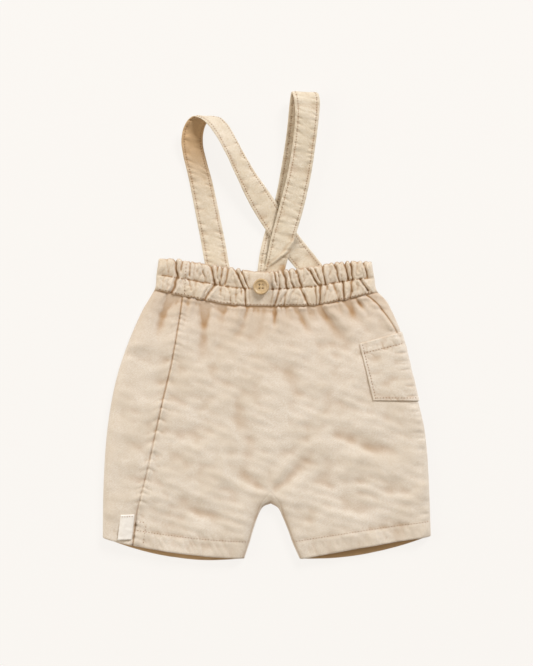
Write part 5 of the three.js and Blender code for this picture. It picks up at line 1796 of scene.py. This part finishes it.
def light_and_camera() -> bpy.types.Object:
    """Lay the floor, set soft studio light and the camera straight above, and return the floor."""
    scene = bpy.context.scene
    scene.view_settings.view_transform = "Standard"
    scene.view_settings.look = "None"
    world = bpy.data.worlds.new("studio")
    scene.world = world
    world.use_nodes = True
    sky = world.node_tree.nodes["Background"]
    feed(world.node_tree, sky, Color=linear("#f5e2c8"), Strength=0.345)

    def lamp(name: str, place: tuple[float, float, float], size: float, power: float, tint: str) -> None:
        """Add a square area light that faces the garment's middle."""
        data = bpy.data.lights.new(name, "AREA")
        data.shape = "SQUARE"
        data.size = size
        data.energy = power
        data.color = linear(tint)[:3]
        light = bpy.data.objects.new(name, data)
        light.location = place
        aim = -np.array(place)
        light.rotation_euler = (
            math.atan2(math.hypot(aim[0], aim[1]), -aim[2]), 0, math.atan2(aim[1], aim[0]) - math.pi / 2,
        )
        scene.collection.objects.link(light)

    lamp("key", (1.65, 2.4, 2.0), 1.1, 109.0, "#fffefe")
    lamp("fill", (-2.2, 0.3, 1.3), 2.0, 40.0, "#fff8ee")

    material, tree, shader = new_material("paper_sweep")
    feed(tree, shader, Base_Color=linear("#4b4a49"), Roughness=0.95)
    feed(tree, shader, Emission_Color=linear("#fbf8f4"), Emission_Strength=0.9)
    half, low = 1500.0, -0.2
    floor = {
        "points": np.array([(-half, -half, low), (half, -half, low), (half, half, low), (-half, half, low)]),
        "faces": np.array([(0, 1, 2), (0, 2, 3)]),
    }
    sweep = make_piece("paper_floor", floor, material)

    # The picture is 566 mm high at the cloth, which lies 8 mm up, and its middle is just below the origin
    data = bpy.data.cameras.new("camera")
    data.sensor_width = 36.0
    data.lens = 70.0
    camera = bpy.data.objects.new("camera", data)
    half_frame, cloth_up = 0.283, 0.008
    camera.location = (-0.0003, -0.0057, cloth_up + half_frame / (data.sensor_width / 2 / data.lens))
    scene.collection.objects.link(camera)
    scene.camera = camera
    return sweep


def main() -> None:
    """Build the garment piece by piece, attach each to the root and report it."""
    sweep = light_and_camera()
    twill = TwillFinish("washed_cotton_twill").build()
    band_twill = TwillFinish("gathered_cotton_twill", face="#e6dfd3", deep="#d0c0a8").build()
    strap_twill = TwillFinish(
        "folded_cotton_twill", face="#e1dacb", washed="#ebe4d8", deep="#cfc0a6", rib_strength=0.1,
        rib_tint=0.08,
    ).build()
    tape = TapeFinish().build()
    thread = ThreadFinish().build()
    pale_thread = ThreadFinish("button_sewing_thread", lit="#dcc8a2", dark="#b89a6a").build()
    corozo = ButtonFinish().build()

    def sewing(name: str, paths: list[Path], pitch: float = 2.4,
               radius: float = 0.32) -> bpy.types.Object:
        """Make one piece of all the stitches that hold a part, and ride it on the garment."""
        piece = make_piece(name, stitches(paths, pitch, radius=radius), thread)
        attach(piece, "root")
        return piece

    front, back, band, pocket, tab, button = (
        FrontPanel(), BackPanel(), Waistband(), PatchPocket(), HemTab(), FrontButton(),
    )
    straps = (
        Strap("strap_left", 61, STRAP_LEFT, underside_shade=1.0),
        Strap("strap_right", 81, STRAP_RIGHT, dive=True, underside_shade=0.15, base_shade=0.03,
              flat_length=0.327),
    )
    cloths = [
        ("front", front.wall(), twill, (0.262, 0.222), 0.050, ["back"],
         [sewing("front_hem_stitches", front.hem_rows())]),
        ("back", back.wall(), twill, (0.345, 0.225), 0.066, [],
         [sewing("back_hem_stitches", back.hem_rows())]),
        ("waistband_front", band.front(), band_twill, (0.155, 0.031), None, ["strap_left"],
         [sewing("band_stitches", band.stitch_rows(), 2.8, 0.36)]),
        ("waistband_back", band.back(), band_twill, (0.225, 0.031), None, [], []),
        ("pocket", pocket.wall(), twill, (0.052, 0.06), None, ["front"],
         [sewing("pocket_stitches", pocket.stitch_rows())]),
        ("hem_label", tab.wall(), tape, (0.0115, 0.021), None, ["back"],
         [sewing("tab_stitches", tab.stitch_rows(), 1.8)]),
    ]
    for strap in straps:
        rows = sewing(strap.name + "_stitches", strap.stitch_rows(), 2.2)
        cloths.append((strap.name, strap.wall(), strap_twill, (0.0215, strap.flat_length), None, [], [rows]))
    for node, wall, material, flat, area, under, sewn in cloths:
        piece = make_piece(node + "_cloth", wall, material)
        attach(piece, "root")
        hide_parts(node)
        LOG.info("%s: %d faces", piece.name, len(piece.data.polygons))

    disc = button.build(corozo)
    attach(disc, "root")
    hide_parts("button")
    cross = make_piece("button_thread", button.thread(), pale_thread)
    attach(cross, "root")
    LOG.info("button: %d faces", len(disc.data.polygons))


if __name__ == "__main__":
    logging.basicConfig(level=logging.INFO, format="%(name)s: %(message)s")
    main()
